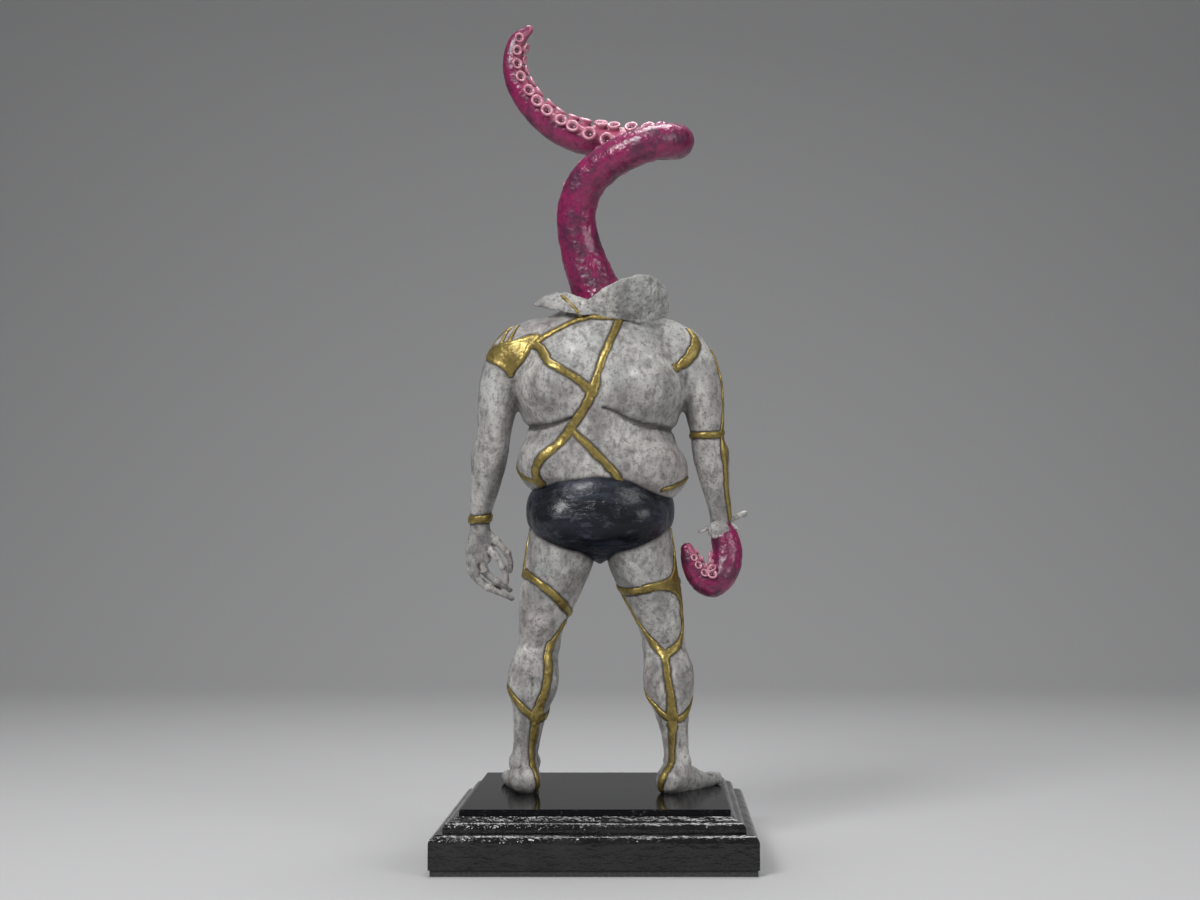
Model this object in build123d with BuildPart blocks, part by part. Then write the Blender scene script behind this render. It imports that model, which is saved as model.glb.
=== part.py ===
from build123d import *

import os
from math import ceil, cos, hypot, radians, sin

# A statuette of a heavyset figure with no head, seen from behind at azimuth 0. It stands on a stepped
# plinth, its stone shards are joined by gold seams, and an octopus arm grows from its collar and another
# from its right wrist. Millimetres, +Z up, +X to the figure's right hand, +Y the way the figure faces.
# The origin is the centre of the plinth's underside.

# Plinth
plinth_width = 152.4
pad_thickness = 3.0
pad_inset = 0.8
block_height = 15.7
block_shoulder = 4.0
moulding_ledge = 5.9
moulding_height = 5.0
moulding_round = 3.6
step_ledge = 3.7
step_height = 2.0
step_chamfer = 1.9
plate_ledge = 3.2
plate_thickness = 3.0
plate_edge = 0.5
moulding_width = plinth_width - 2 * moulding_ledge
step_width = moulding_width - 2 * step_ledge
plate_width = step_width - 2 * plate_ledge
moulding_foot = pad_thickness + block_height
step_foot = moulding_foot + moulding_height
plate_foot = step_foot + step_height
ground = plate_foot + plate_thickness

# Fixings under the plinth
screw_diameter = 3.5
screw_head_diameter = 7.0
screw_head_height = 2.4
screw_length = 20.0
screw_inset = 22.0
screw_clearance = 0.15
rod_diameter = 3.2
wire_diameter = 2.0
bore_clearance = 0.15
nut_width = 5.5
nut_height = 2.6
washer_diameter = 8.0
washer_thickness = 0.6
recess_diameter = 9.0
recess_depth = 5.0
rod_bend = 10.0
wire_bend = 4.0

# Figure
figure_height = 246.0
torso_half_width = 42.5
torso_half_depth = 36.0
trunks_half_width = 37.5
trunks_half_depth = 32.5
hip_offset = 18.5
left_ankle_offset = 38.0
right_ankle_offset = 39.5
thigh_half_width = 17.5
thigh_half_depth = 20.0
shoulder_offset = 40.0
wrist_offset = 62.0
arm_half_width = 12.5
arm_half_depth = 13.5
foot_length = 40.0
foot_half_width = 9.0
foot_height = 17.0
toe_radius = 2.9
left_toe_out = 10.0
right_toe_out = 32.0
hand_length = 36.0
hand_half_width = 8.5
hand_half_depth = 4.6
finger_radius = 2.1

# Octopus arms
neck_arm_rise = 152.0
neck_arm_reach = 40.0
neck_arm_root = 13.0
socket_depth = 14.0
socket_clearance = 0.3
wrist_arm_drop = 34.0
wrist_arm_reach = 18.0
wrist_arm_root = 7.6
sucker_height_share = 0.6
neck_sucker_pitch_share = 0.54
neck_sucker_share = 0.38
wrist_sucker_pitch_share = 0.52
wrist_sucker_share = 0.30
sucker_spread = 29.0
sucker_lift_share = 0.14

# Collar, petals and seams. Beads and suckers stand this clearance off what carries them.
seat_clearance = 0.25
collar_thickness = 2.2
collar_root_gap = 1.0
collar_flare = 14.0
collar_rise = 12.0
petal_thickness = 1.3
petal_length = 8.0
petal_clearance = 0.7
splinter_radius = 1.5
seam_half_width = 1.8
seam_half_height = 0.45
seam_step = 5.0
band_steps = 18
band_opening = 8.0
band_start = 90.0 + band_opening / 2

# Heights of the collar's root and of the wrists, as shares of the figure's height.
neck_share = 0.995
wrist_share = 0.545

# Each row is height, forward, half width and half depth, as shares of the figure's height, the torso's
# half depth, its half width and its half depth.
upper_torso_shares = (
    (0.738, 0.08, 0.84, 0.86),
    (0.752, 0.08, 0.92, 0.92),
    (0.780, 0.08, 0.96, 0.95),
    (0.820, 0.06, 0.96, 0.93),
    (0.865, 0.03, 0.98, 0.86),
    (0.905, 0.00, 1.00, 0.77),
    (0.938, 0.00, 0.93, 0.67),
    (0.963, 0.00, 0.74, 0.57),
    (0.983, 0.00, 0.56, 0.50),
    (0.995, 0.00, 0.43, 0.45),
)
lower_torso_shares = (
    (0.618, 0.05, 0.80, 0.78),
    (0.628, 0.08, 0.93, 0.90),
    (0.648, 0.10, 1.03, 1.00),
    (0.675, 0.11, 1.03, 1.02),
    (0.704, 0.10, 0.97, 0.97),
    (0.727, 0.08, 0.88, 0.90),
    (0.738, 0.08, 0.84, 0.86),
)
trunks_shares = (
    (0.482, 0.00, 0.24, 0.44),
    (0.494, 0.00, 0.56, 0.74),
    (0.516, 0.02, 0.86, 0.93),
    (0.548, 0.03, 1.00, 1.00),
    (0.582, 0.04, 1.00, 0.98),
    (0.606, 0.04, 0.94, 0.93),
    (0.618, 0.04, 0.86, 0.86),
)
# Each row is height, way out from hip to ankle, forward, half width and half depth, as shares.
leg_shares = (
    (0.560, 0.00, 0.00, 0.94, 0.94),
    (0.520, 0.02, 0.00, 1.00, 1.02),
    (0.460, 0.14, 0.05, 0.99, 1.00),
    (0.400, 0.36, 0.10, 0.88, 0.90),
    (0.345, 0.55, 0.14, 0.73, 0.76),
    (0.300, 0.67, 0.14, 0.645, 0.66),
    (0.255, 0.74, 0.05, 0.675, 0.68),
    (0.205, 0.80, -0.02, 0.64, 0.65),
    (0.155, 0.86, -0.06, 0.51, 0.53),
    (0.105, 0.93, -0.10, 0.42, 0.44),
    (0.065, 0.98, -0.12, 0.40, 0.44),
    (0.030, 1.00, -0.12, 0.43, 0.52),
)
# Each row is height, way out from shoulder to wrist, forward, half width and half depth, as shares.
arm_shares = (
    (0.950, -0.15, 0.00, 0.45, 0.50),
    (0.935, 0.00, 0.00, 0.78, 0.80),
    (0.905, 0.20, 0.00, 1.00, 1.00),
    (0.865, 0.38, -0.04, 0.98, 0.98),
    (0.815, 0.52, -0.10, 0.88, 0.90),
    (0.765, 0.60, -0.12, 0.78, 0.82),
    (0.720, 0.66, -0.10, 0.70, 0.74),
    (0.675, 0.74, 0.00, 0.72, 0.74),
    (0.625, 0.85, 0.14, 0.63, 0.66),
    (0.575, 0.96, 0.30, 0.50, 0.52),
    (0.545, 1.00, 0.38, 0.44, 0.43),
)
# Each row is way along the foot, height of the middle, half width and half height, as shares.
foot_shares = (
    (-0.02, 0.30, 0.45, 0.26),
    (0.04, 0.36, 0.76, 0.44),
    (0.16, 0.42, 0.86, 0.54),
    (0.36, 0.34, 0.84, 0.50),
    (0.58, 0.22, 0.98, 0.38),
    (0.76, 0.14, 1.02, 0.28),
    (0.88, 0.10, 0.86, 0.18),
)
# Each row is a toe's way along the foot, its place across it and its size, as shares.
toe_shares = (
    (0.95, -0.66, 1.30),
    (0.96, -0.22, 0.95),
    (0.93, 0.14, 0.88),
    (0.89, 0.46, 0.82),
    (0.84, 0.76, 0.80),
)


def station(height_share, x, y, half_width, half_depth):
    """Gives one level section of the figure, with its height above the plate worked out."""
    return (ground + height_share * figure_height, x, y, half_width, half_depth)


def torso_stations(shares, half_width, half_depth):
    return [
        station(rise, 0, forward * half_depth, wide * half_width, deep * half_depth)
        for rise, forward, wide, deep in shares
    ]


def leg_stations(side, ankle_offset):
    return [
        station(
            rise,
            side * (hip_offset + out * (ankle_offset - hip_offset)),
            forward * thigh_half_depth,
            wide * thigh_half_width,
            deep * thigh_half_depth,
        )
        for rise, out, forward, wide, deep in leg_shares
    ]


def arm_stations(side):
    return [
        station(
            rise,
            side * (shoulder_offset + out * (wrist_offset - shoulder_offset)),
            forward * arm_half_depth,
            wide * arm_half_width,
            deep * arm_half_depth,
        )
        for rise, out, forward, wide, deep in arm_shares
    ]


upper_torso_stations = torso_stations(upper_torso_shares, torso_half_width, torso_half_depth)
lower_torso_stations = torso_stations(lower_torso_shares, torso_half_width, torso_half_depth)
trunks_stations = torso_stations(trunks_shares, trunks_half_width, trunks_half_depth)
left_leg_stations = leg_stations(-1, left_ankle_offset)
right_leg_stations = leg_stations(1, right_ankle_offset)
left_arm_stations = arm_stations(-1)
right_arm_stations = arm_stations(1)


def oval(plane, half_width, half_depth):
    """Draws one elliptical section on a plane."""
    with BuildSketch(plane) as ring:
        Ellipse(half_width, half_depth)
    return ring.sketch


def level_ovals(stations):
    return [oval(Plane((x, y, z)), wide, deep) for z, x, y, wide, deep in stations]


def middle_at(stations, height):
    """Gives the point on a limb's middle line at a height."""
    rows = sorted(stations)
    for low, high in zip(rows, rows[1:]):
        if height <= high[0]:
            break
    share = (height - low[0]) / (high[0] - low[0])
    return Vector(low[1] + share * (high[1] - low[1]), low[2] + share * (high[2] - low[2]), height)


def level(height_share):
    return ground + height_share * figure_height


def finish(name, piece):
    """Labels a piece and writes it."""
    piece.part.label = name
    export_step(piece.part, f"parts/{name}.step")


os.makedirs("parts", exist_ok=True)

# Rods and wires of the armature, each with the bore that the clay leaves round it.
left_ankle = middle_at(left_leg_stations, level(0.050))
right_ankle = middle_at(right_leg_stations, level(0.050))


def leg_rod_points(stations, ankle):
    knee = middle_at(stations, level(0.300))
    hip = middle_at(stations, level(0.545))
    return [(ankle.X, ankle.Y, pad_thickness + washer_thickness), tuple(ankle), tuple(knee), tuple(hip)]


def arm_wire_points(stations, end_share):
    shoulder = middle_at(stations, level(0.905))
    elbow = middle_at(stations, level(0.720))
    end = middle_at(stations, level(end_share))
    return [(shoulder.X * 0.35, 0, level(0.900)), tuple(shoulder), tuple(elbow), tuple(end)]


def bent_rod(points, bend, diameter):
    """Sweeps a round rod along straight runs joined by bends."""
    with BuildPart() as rod:
        with BuildLine() as route:
            FilletPolyline(*points, radius=bend)
        with BuildSketch(Plane(origin=route.line @ 0, z_dir=route.line % 0)):
            Circle(diameter / 2)
        sweep(path=route.line)
    return rod


left_rod_points = leg_rod_points(left_leg_stations, left_ankle)
right_rod_points = leg_rod_points(right_leg_stations, right_ankle)
left_wire_points = arm_wire_points(left_arm_stations, 0.556)
right_wire_points = arm_wire_points(right_arm_stations, 0.580)
spine_top = level(neck_share) - socket_depth - rod_diameter * 4

left_leg_rod = bent_rod(left_rod_points, rod_bend, rod_diameter)
right_leg_rod = bent_rod(right_rod_points, rod_bend, rod_diameter)
left_arm_wire = bent_rod(left_wire_points, wire_bend, wire_diameter)
right_arm_wire = bent_rod(right_wire_points, wire_bend, wire_diameter)
left_leg_bore = bent_rod(left_rod_points, rod_bend, rod_diameter + 2 * bore_clearance)
right_leg_bore = bent_rod(right_rod_points, rod_bend, rod_diameter + 2 * bore_clearance)
left_arm_bore = bent_rod(left_wire_points, wire_bend, wire_diameter + 2 * bore_clearance)
right_arm_bore = bent_rod(right_wire_points, wire_bend, wire_diameter + 2 * bore_clearance)

with BuildPart() as spine_rod:
    with BuildSketch(Plane.XY.offset(level(0.530))):
        Circle(rod_diameter / 2)
    extrude(amount=spine_top - level(0.530))

with BuildPart() as spine_bore:
    with BuildSketch(Plane.XY.offset(level(0.530))):
        Circle(rod_diameter / 2 + bore_clearance)
    extrude(amount=spine_top - level(0.530))

for name, piece in (
    ("left_leg_rod", left_leg_rod),
    ("right_leg_rod", right_leg_rod),
    ("left_arm_wire", left_arm_wire),
    ("right_arm_wire", right_arm_wire),
    ("spine_rod", spine_rod),
):
    finish(name, piece)

# Plinth: a glued pad, a square block, a stepped moulding and a polished top plate.
rod_places = [(left_ankle.X, left_ankle.Y), (right_ankle.X, right_ankle.Y)]
screw_spread = plinth_width - 2 * screw_inset
rod_hole_radius = rod_diameter / 2 + bore_clearance

with BuildPart() as base_pad:
    with BuildSketch():
        Rectangle(plinth_width - 2 * pad_inset, plinth_width - 2 * pad_inset)
    extrude(amount=pad_thickness)

with BuildPart() as plinth_block:
    with BuildSketch(Plane.XY.offset(pad_thickness)):
        Rectangle(plinth_width, plinth_width)
    extrude(amount=block_height)
    fillet(plinth_block.faces().sort_by(Axis.Z)[-1].edges(), radius=block_shoulder)
    with BuildSketch(Plane.XY.offset(pad_thickness)):
        with GridLocations(screw_spread, screw_spread, 2, 2):
            Circle(screw_head_diameter / 2 + screw_clearance)
    extrude(amount=screw_head_height, mode=Mode.SUBTRACT)
    with BuildSketch(Plane.XY.offset(pad_thickness)):
        with GridLocations(screw_spread, screw_spread, 2, 2):
            Circle(screw_diameter / 2 + screw_clearance)
        with Locations(*rod_places):
            Circle(rod_hole_radius)
    extrude(amount=block_height, mode=Mode.SUBTRACT)
    with BuildSketch(Plane.XY.offset(pad_thickness)):
        with Locations(*rod_places):
            Circle(recess_diameter / 2)
    extrude(amount=recess_depth, mode=Mode.SUBTRACT)

with BuildPart() as plinth_moulding:
    with BuildSketch(Plane.XY.offset(moulding_foot)):
        Rectangle(moulding_width, moulding_width)
    extrude(amount=moulding_height)
    fillet(plinth_moulding.faces().sort_by(Axis.Z)[-1].edges(), radius=moulding_round)
    with BuildSketch(Plane.XY.offset(step_foot)):
        Rectangle(step_width, step_width)
    extrude(amount=step_height)
    chamfer(plinth_moulding.faces().sort_by(Axis.Z)[-1].edges(), length=step_chamfer)
    with BuildSketch(Plane.XY.offset(moulding_foot)):
        with Locations(*rod_places):
            Circle(rod_hole_radius)
    extrude(amount=moulding_height + step_height, mode=Mode.SUBTRACT)
    with BuildSketch(Plane.XY.offset(moulding_foot)):
        with GridLocations(screw_spread, screw_spread, 2, 2):
            Circle(screw_diameter / 2 + screw_clearance)
    extrude(amount=screw_length + pad_thickness - moulding_foot + screw_clearance, mode=Mode.SUBTRACT)

with BuildPart() as plinth_top_plate:
    with BuildSketch(Plane.XY.offset(plate_foot)):
        Rectangle(plate_width, plate_width)
        with Locations(*rod_places):
            Circle(rod_hole_radius, mode=Mode.SUBTRACT)
    extrude(amount=plate_thickness)
    plate_rim = plinth_top_plate.faces().sort_by(Axis.Z)[-1].outer_wire().edges()
    fillet(plate_rim, radius=plate_edge)

with BuildPart() as plinth_screws:
    with BuildSketch(Plane.XY.offset(pad_thickness)):
        with GridLocations(screw_spread, screw_spread, 2, 2):
            Circle(screw_head_diameter / 2)
    extrude(amount=screw_head_height)
    with BuildSketch(Plane.XY.offset(pad_thickness)):
        with GridLocations(screw_spread, screw_spread, 2, 2):
            Circle(screw_diameter / 2)
    extrude(amount=screw_length)

washer_foot = pad_thickness + recess_depth - washer_thickness

with BuildPart() as rod_washers:
    with BuildSketch(Plane.XY.offset(washer_foot)):
        with Locations(*rod_places):
            Circle(washer_diameter / 2)
            Circle(rod_hole_radius, mode=Mode.SUBTRACT)
    extrude(amount=washer_thickness)

with BuildPart() as rod_nuts:
    with BuildSketch(Plane.XY.offset(washer_foot - nut_height)):
        with Locations(*rod_places):
            RegularPolygon(nut_width / 2, 6, major_radius=False)
            Circle(rod_hole_radius, mode=Mode.SUBTRACT)
    extrude(amount=nut_height)

for name, piece in (
    ("base_pad", base_pad),
    ("plinth_block", plinth_block),
    ("plinth_moulding", plinth_moulding),
    ("plinth_top_plate", plinth_top_plate),
    ("plinth_screws", plinth_screws),
    ("rod_washers", rod_washers),
    ("rod_nuts", rod_nuts),
):
    finish(name, piece)


# Octopus arms: a smooth run of round sections along a bent line.
def along_planes(points, start=None):
    """Sets a plane square to a line at each of its points, with no twist from one to the next."""
    across = Vector(1, 0, 0)
    planes = []
    for index, point in enumerate(points):
        before = points[max(index - 1, 0)]
        after = points[min(index + 1, len(points) - 1)]
        ahead = start if start and index == 0 else (after - before).normalized()
        across = (across - ahead * across.dot(ahead)).normalized()
        planes.append(Plane(origin=point, x_dir=across, z_dir=ahead))
    return planes


# Each row is x and y as shares of the reach, height as a share of the rise, and radius as a share of
# the root.
neck_arm_shares = (
    (0.00, 0.00, 0.00, 1.00),
    (-0.10, 0.00, 0.09, 0.96),
    (-0.24, -0.03, 0.20, 0.83),
    (-0.31, -0.10, 0.315, 0.77),
    (-0.20, -0.22, 0.405, 0.75),
    (0.05, -0.36, 0.465, 0.72),
    (0.36, -0.50, 0.505, 0.695),
    (0.68, -0.56, 0.53, 0.68),
    (0.92, -0.44, 0.545, 0.67),
    (0.98, -0.18, 0.56, 0.66),
    (0.82, 0.05, 0.572, 0.65),
    (0.48, 0.20, 0.58, 0.64),
    (0.10, 0.28, 0.585, 0.625),
    (-0.28, 0.30, 0.60, 0.60),
    (-0.62, 0.30, 0.64, 0.56),
    (-0.90, 0.28, 0.705, 0.51),
    (-1.10, 0.26, 0.785, 0.45),
    (-1.17, 0.24, 0.865, 0.38),
    (-1.12, 0.22, 0.94, 0.29),
    (-0.98, 0.21, 0.99, 0.12),
)
collar_height = level(neck_share)
neck_arm_points = [
    Vector(x * neck_arm_reach, y * neck_arm_reach, collar_height + rise * neck_arm_rise)
    for x, y, rise, _ in neck_arm_shares
]
neck_arm_radii = [radius * neck_arm_root for *_, radius in neck_arm_shares]
neck_arm_planes = along_planes(neck_arm_points, start=Vector(0, 0, 1))

# Each row is x and y as shares of the reach, height as a share of the drop below the wrist, and radius
# as a share of the root.
wrist_arm_shares = (
    (0.00, 0.00, 0.00, 0.72),
    (0.08, -0.04, 0.20, 0.95),
    (0.16, -0.10, 0.42, 1.00),
    (0.12, -0.20, 0.64, 0.98),
    (-0.06, -0.30, 0.82, 0.94),
    (-0.32, -0.36, 0.90, 0.88),
    (-0.58, -0.38, 0.84, 0.78),
    (-0.80, -0.38, 0.68, 0.64),
    (-0.93, -0.38, 0.50, 0.48),
    (-0.99, -0.38, 0.36, 0.26),
)
right_wrist = Vector(*right_arm_stations[-1][1:3], right_arm_stations[-1][0])
wrist_arm_points = [
    right_wrist + Vector(x * wrist_arm_reach, y * wrist_arm_reach, -fall * wrist_arm_drop)
    for x, y, fall, _ in wrist_arm_shares
]
wrist_arm_radii = [radius * wrist_arm_root for *_, radius in wrist_arm_shares]
wrist_arm_planes = along_planes(wrist_arm_points, start=Vector(0, 0, -1))

# A wire runs down the middle of each octopus arm and out of its root.
wire_radius = wire_diameter / 2
wire_bore_radius = wire_radius + bore_clearance
neck_wire_planes = neck_arm_planes[:13]
wrist_wire_planes = wrist_arm_planes[:7]


def neck_core(radius):
    """Makes the neck arm's wire or its bore, from inside the torso up along the arm."""
    with BuildPart() as core:
        with BuildSketch(Plane.XY.offset(spine_top)):
            Circle(radius)
        extrude(amount=collar_height - spine_top)
        loft(sections=[oval(plane, radius, radius) for plane in neck_wire_planes])
    return core


def wrist_core(radius):
    with BuildPart() as core:
        loft(sections=[oval(plane, radius, radius) for plane in wrist_wire_planes])
    return core


neck_arm_wire = neck_core(wire_radius)
neck_arm_bore = neck_core(wire_bore_radius)
wrist_arm_wire = wrist_core(wire_radius)
wrist_arm_bore = wrist_core(wire_bore_radius)

with BuildPart() as neck_octopus_arm:
    loft(sections=[oval(plane, r, r) for plane, r in zip(neck_arm_planes, neck_arm_radii)])
    with BuildSketch(Plane.XY.offset(collar_height - socket_depth)):
        Circle(neck_arm_root)
    extrude(amount=socket_depth)
    add(neck_arm_bore.part, mode=Mode.SUBTRACT)

with BuildPart() as wrist_octopus_arm:
    loft(sections=[oval(plane, r, r) for plane, r in zip(wrist_arm_planes, wrist_arm_radii)])
    add(wrist_arm_bore.part, mode=Mode.SUBTRACT)


# Suckers: small dished rings in two rows, each resting on its arm and shrinking towards the tip. A guide
# row gives the way along the arm in stations and the side that the suckers face.
def side_spot(form, start, direction, radius):
    """Finds the point of a form nearest one radius away from a point inside it, and its way out."""
    ray = Axis(start, direction)
    hits = [hit for face in form.part.faces() for hit in face.find_intersection_points(ray)]
    ahead = [hit for hit in hits if (hit[0] - start).dot(direction) > 0]
    point, normal = min(ahead, key=lambda hit: abs((hit[0] - start).length - radius))
    return (point, normal if normal.dot(direction) > 0 else -normal)


def sucker_rows(form, points, radii, guide, pitch_share, ring_share):
    """Gives the plane and the radius of each sucker, two abreast and staggered."""
    spots = []
    place, last = guide[0][0], guide[-1][0]
    count = 0
    while place < last:
        low = min(int(place), len(points) - 2)
        share = place - low
        middle = points[low] + (points[low + 1] - points[low]) * share
        radius = radii[low] + (radii[low + 1] - radii[low]) * share
        run = (points[low + 1] - points[low]).length
        ahead = (points[low + 1] - points[low]).normalized()
        for start, end in zip(guide, guide[1:]):
            if place <= end[0]:
                break
        blend = (place - start[0]) / (end[0] - start[0])
        facing = Vector(*start[1:]) + (Vector(*end[1:]) - Vector(*start[1:])) * blend
        facing = (facing - ahead * facing.dot(ahead)).normalized()
        facing = facing.rotate(Axis(middle, ahead), sucker_spread if count % 2 else -sucker_spread)
        ring = ring_share * radius
        seat, out = side_spot(form, middle, facing, radius)
        seat += out * (seat_clearance + sucker_lift_share * ring)
        spots.append((Plane(origin=seat, x_dir=ahead - out * ahead.dot(out), z_dir=out), ring))
        place += pitch_share * radius / run
        count += 1
    return spots


def one_sucker(plane, radius):
    """Turns one dished ring, whose foot rests on its plane."""
    height = sucker_height_share * radius
    with BuildPart() as sucker:
        with BuildSketch(Plane(origin=plane.origin, x_dir=plane.x_dir, z_dir=-plane.y_dir)):
            with BuildLine():
                Polyline(
                    (0, 0),
                    (radius * 0.9, 0),
                    (radius, height * 0.7),
                    (radius * 0.82, height),
                    (radius * 0.5, height * 0.8),
                    (0, height * 0.35),
                    close=True,
                )
            make_face()
        revolve(axis=Axis(plane.origin, plane.z_dir))
    return sucker.part


def sucker_group(spots):
    with BuildPart() as group:
        add([one_sucker(plane, radius) for plane, radius in spots])
    return group


neck_sucker_guide = (
    (2.0, -0.7, 0.8, 0.0),
    (4.5, -0.5, 0.9, 0.4),
    (7.5, -0.4, 0.9, 0.5),
    (9.0, -1.0, 0.1, 0.5),
    (10.5, -0.3, -0.9, 0.7),
    (13.0, 0.35, -1.0, 0.75),
    (15.5, 0.75, -0.95, 0.45),
    (18.4, 0.9, -0.8, 0.1),
)
wrist_sucker_guide = (
    (1.8, -0.9, 0.1, 0.0),
    (5.0, -0.2, -0.4, 1.0),
    (7.0, 0.5, -0.5, 0.7),
    (8.6, 1.0, -0.5, 0.4),
)

neck_suckers = sucker_group(
    sucker_rows(
        neck_octopus_arm,
        neck_arm_points,
        neck_arm_radii,
        neck_sucker_guide,
        neck_sucker_pitch_share,
        neck_sucker_share,
    )
)
wrist_suckers = sucker_group(
    sucker_rows(
        wrist_octopus_arm,
        wrist_arm_points,
        wrist_arm_radii,
        wrist_sucker_guide,
        wrist_sucker_pitch_share,
        wrist_sucker_share,
    )
)

# Torso, trunks and collar socket
with BuildPart() as upper_torso:
    loft(sections=level_ovals(upper_torso_stations))
    with BuildSketch(Plane.XY.offset(collar_height)):
        Circle(neck_arm_root + socket_clearance)
    extrude(amount=-socket_depth, mode=Mode.SUBTRACT)
    add(neck_arm_bore.part, mode=Mode.SUBTRACT)
    add(spine_bore.part, mode=Mode.SUBTRACT)
    add(left_arm_bore.part, mode=Mode.SUBTRACT)
    add(right_arm_bore.part, mode=Mode.SUBTRACT)

with BuildPart() as lower_torso:
    loft(sections=level_ovals(lower_torso_stations))
    add(spine_bore.part, mode=Mode.SUBTRACT)

with BuildPart() as trunks:
    loft(sections=level_ovals(trunks_stations))
    add(spine_bore.part, mode=Mode.SUBTRACT)
    add(left_leg_bore.part, mode=Mode.SUBTRACT)
    add(right_leg_bore.part, mode=Mode.SUBTRACT)


# Limbs: each is one run of sections, then broken into shards where the gold bands go round it.
def break_plane(stations, height_share, slope_across, slope_ahead):
    """Sets the plane on which a limb is broken, tipped across the figure and ahead."""
    return Plane(
        origin=middle_at(stations, level(height_share)),
        x_dir=(1, 0, slope_across),
        z_dir=(-slope_across, -slope_ahead, 1),
    )


left_thigh_break = break_plane(left_leg_stations, 0.395, -0.85, 0.10)
left_shin_break = break_plane(left_leg_stations, 0.180, -0.70, 0.50)
right_thigh_break = break_plane(right_leg_stations, 0.420, 0.12, 0.10)
right_shin_break = break_plane(right_leg_stations, 0.188, -0.20, 0.90)
right_elbow_break = break_plane(right_arm_stations, 0.730, 0.10, 0.10)
left_wrist_break = break_plane(left_arm_stations, 0.556, 0.06, 0.10)

with BuildPart() as left_leg:
    loft(sections=level_ovals(left_leg_stations))

with BuildPart() as right_leg:
    loft(sections=level_ovals(right_leg_stations))

with BuildPart() as left_whole_arm:
    loft(sections=level_ovals(left_arm_stations))

with BuildPart() as right_whole_arm:
    loft(sections=level_ovals(right_arm_stations))


def shard(limb, bore, above=None, below=None, cutter=None):
    """Keeps the part of a limb between two breaks, with the armature's bore through it."""
    with BuildPart() as piece:
        add(limb.part)
        if above:
            split(bisect_by=above, keep=Keep.TOP)
        if below:
            split(bisect_by=below, keep=Keep.BOTTOM)
        if cutter:
            add(cutter.part, mode=Mode.SUBTRACT)
        add(bore.part, mode=Mode.SUBTRACT)
    return piece


def largest(piece):
    """Keeps a piece's largest solid and drops the slivers left beside it."""
    with BuildPart() as kept:
        add(piece.part.solids().sort_by(SortBy.VOLUME)[-1])
    return kept


left_thigh = largest(shard(left_leg, left_leg_bore, above=left_thigh_break, cutter=trunks))
right_thigh = largest(shard(right_leg, right_leg_bore, above=right_thigh_break, cutter=trunks))
left_calf = shard(left_leg, left_leg_bore, above=left_shin_break, below=left_thigh_break)
right_calf = shard(right_leg, right_leg_bore, above=right_shin_break, below=right_thigh_break)
left_arm = shard(left_whole_arm, left_arm_bore, above=left_wrist_break, cutter=upper_torso)
right_upper_arm = shard(right_whole_arm, right_arm_bore, above=right_elbow_break, cutter=upper_torso)
right_forearm = shard(right_whole_arm, right_arm_bore, below=right_elbow_break)


def foot(leg, bore, ankle, shin_break, side, toe_out):
    """Makes a lower shin with its foot and toes, cut flat where it stands."""
    ahead = Vector(side * sin(radians(toe_out)), cos(radians(toe_out)), 0)
    across = Vector(ahead.Y, -ahead.X, 0)
    heel = Vector(ankle.X, ankle.Y, ground) - ahead * foot_length * 0.25
    with BuildPart() as piece:
        add(leg.part)
        split(bisect_by=shin_break, keep=Keep.BOTTOM)
        loft(
            sections=[
                oval(
                    Plane(
                        origin=heel + ahead * (way * foot_length) + Vector(0, 0, rise * foot_height),
                        x_dir=across,
                        z_dir=ahead,
                    ),
                    wide * foot_half_width,
                    high * foot_height,
                )
                for way, rise, wide, high in foot_shares
            ]
        )
        for way, place, size in toe_shares:
            middle = heel + ahead * (way * foot_length) - across * (side * place * foot_half_width)
            with Locations(middle + Vector(0, 0, size * toe_radius * 0.8)):
                Sphere(size * toe_radius)
        split(bisect_by=Plane.XY.offset(ground), keep=Keep.TOP)
        add(bore.part, mode=Mode.SUBTRACT)
    return piece


left_foot = foot(left_leg, left_leg_bore, left_ankle, left_shin_break, -1, left_toe_out)
right_foot = foot(right_leg, right_leg_bore, right_ankle, right_shin_break, 1, right_toe_out)

# Left hand: a palm below the wrist band, four curled fingers and a thumb. Each row of the palm is fall,
# forward, half width and half depth, and each finger row is x, forward and fall, all as shares.
palm_shares = (
    (0.50, 0.08, 0.80, 0.72),
    (0.40, 0.06, 0.96, 0.90),
    (0.24, 0.03, 1.00, 1.00),
    (0.08, 0.00, 0.78, 1.10),
    (-0.05, 0.00, 0.60, 1.25),
)
finger_shares = (
    ((-0.16, 0.05, 0.38), (-0.18, 0.07, 0.58), (-0.14, 0.14, 0.74), (-0.05, 0.20, 0.84), (0.00, 0.22, 0.88)),
    ((-0.06, 0.06, 0.40), (-0.07, 0.09, 0.64), (-0.01, 0.17, 0.82), (0.09, 0.23, 0.94), (0.14, 0.25, 0.98)),
    ((0.05, 0.06, 0.40), (0.06, 0.10, 0.62), (0.11, 0.18, 0.77), (0.19, 0.23, 0.88), (0.23, 0.24, 0.91)),
    ((0.15, 0.06, 0.36), (0.19, 0.10, 0.54), (0.24, 0.17, 0.66), (0.28, 0.20, 0.76), (0.29, 0.20, 0.80)),
    ((0.14, 0.03, 0.10), (0.24, 0.09, 0.22), (0.32, 0.14, 0.34), (0.35, 0.17, 0.46), (0.35, 0.17, 0.50)),
)
finger_taper_shares = (1.06, 1.00, 0.94, 0.82, 0.45)
left_hand_top = middle_at(left_arm_stations, level(wrist_share))

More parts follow.
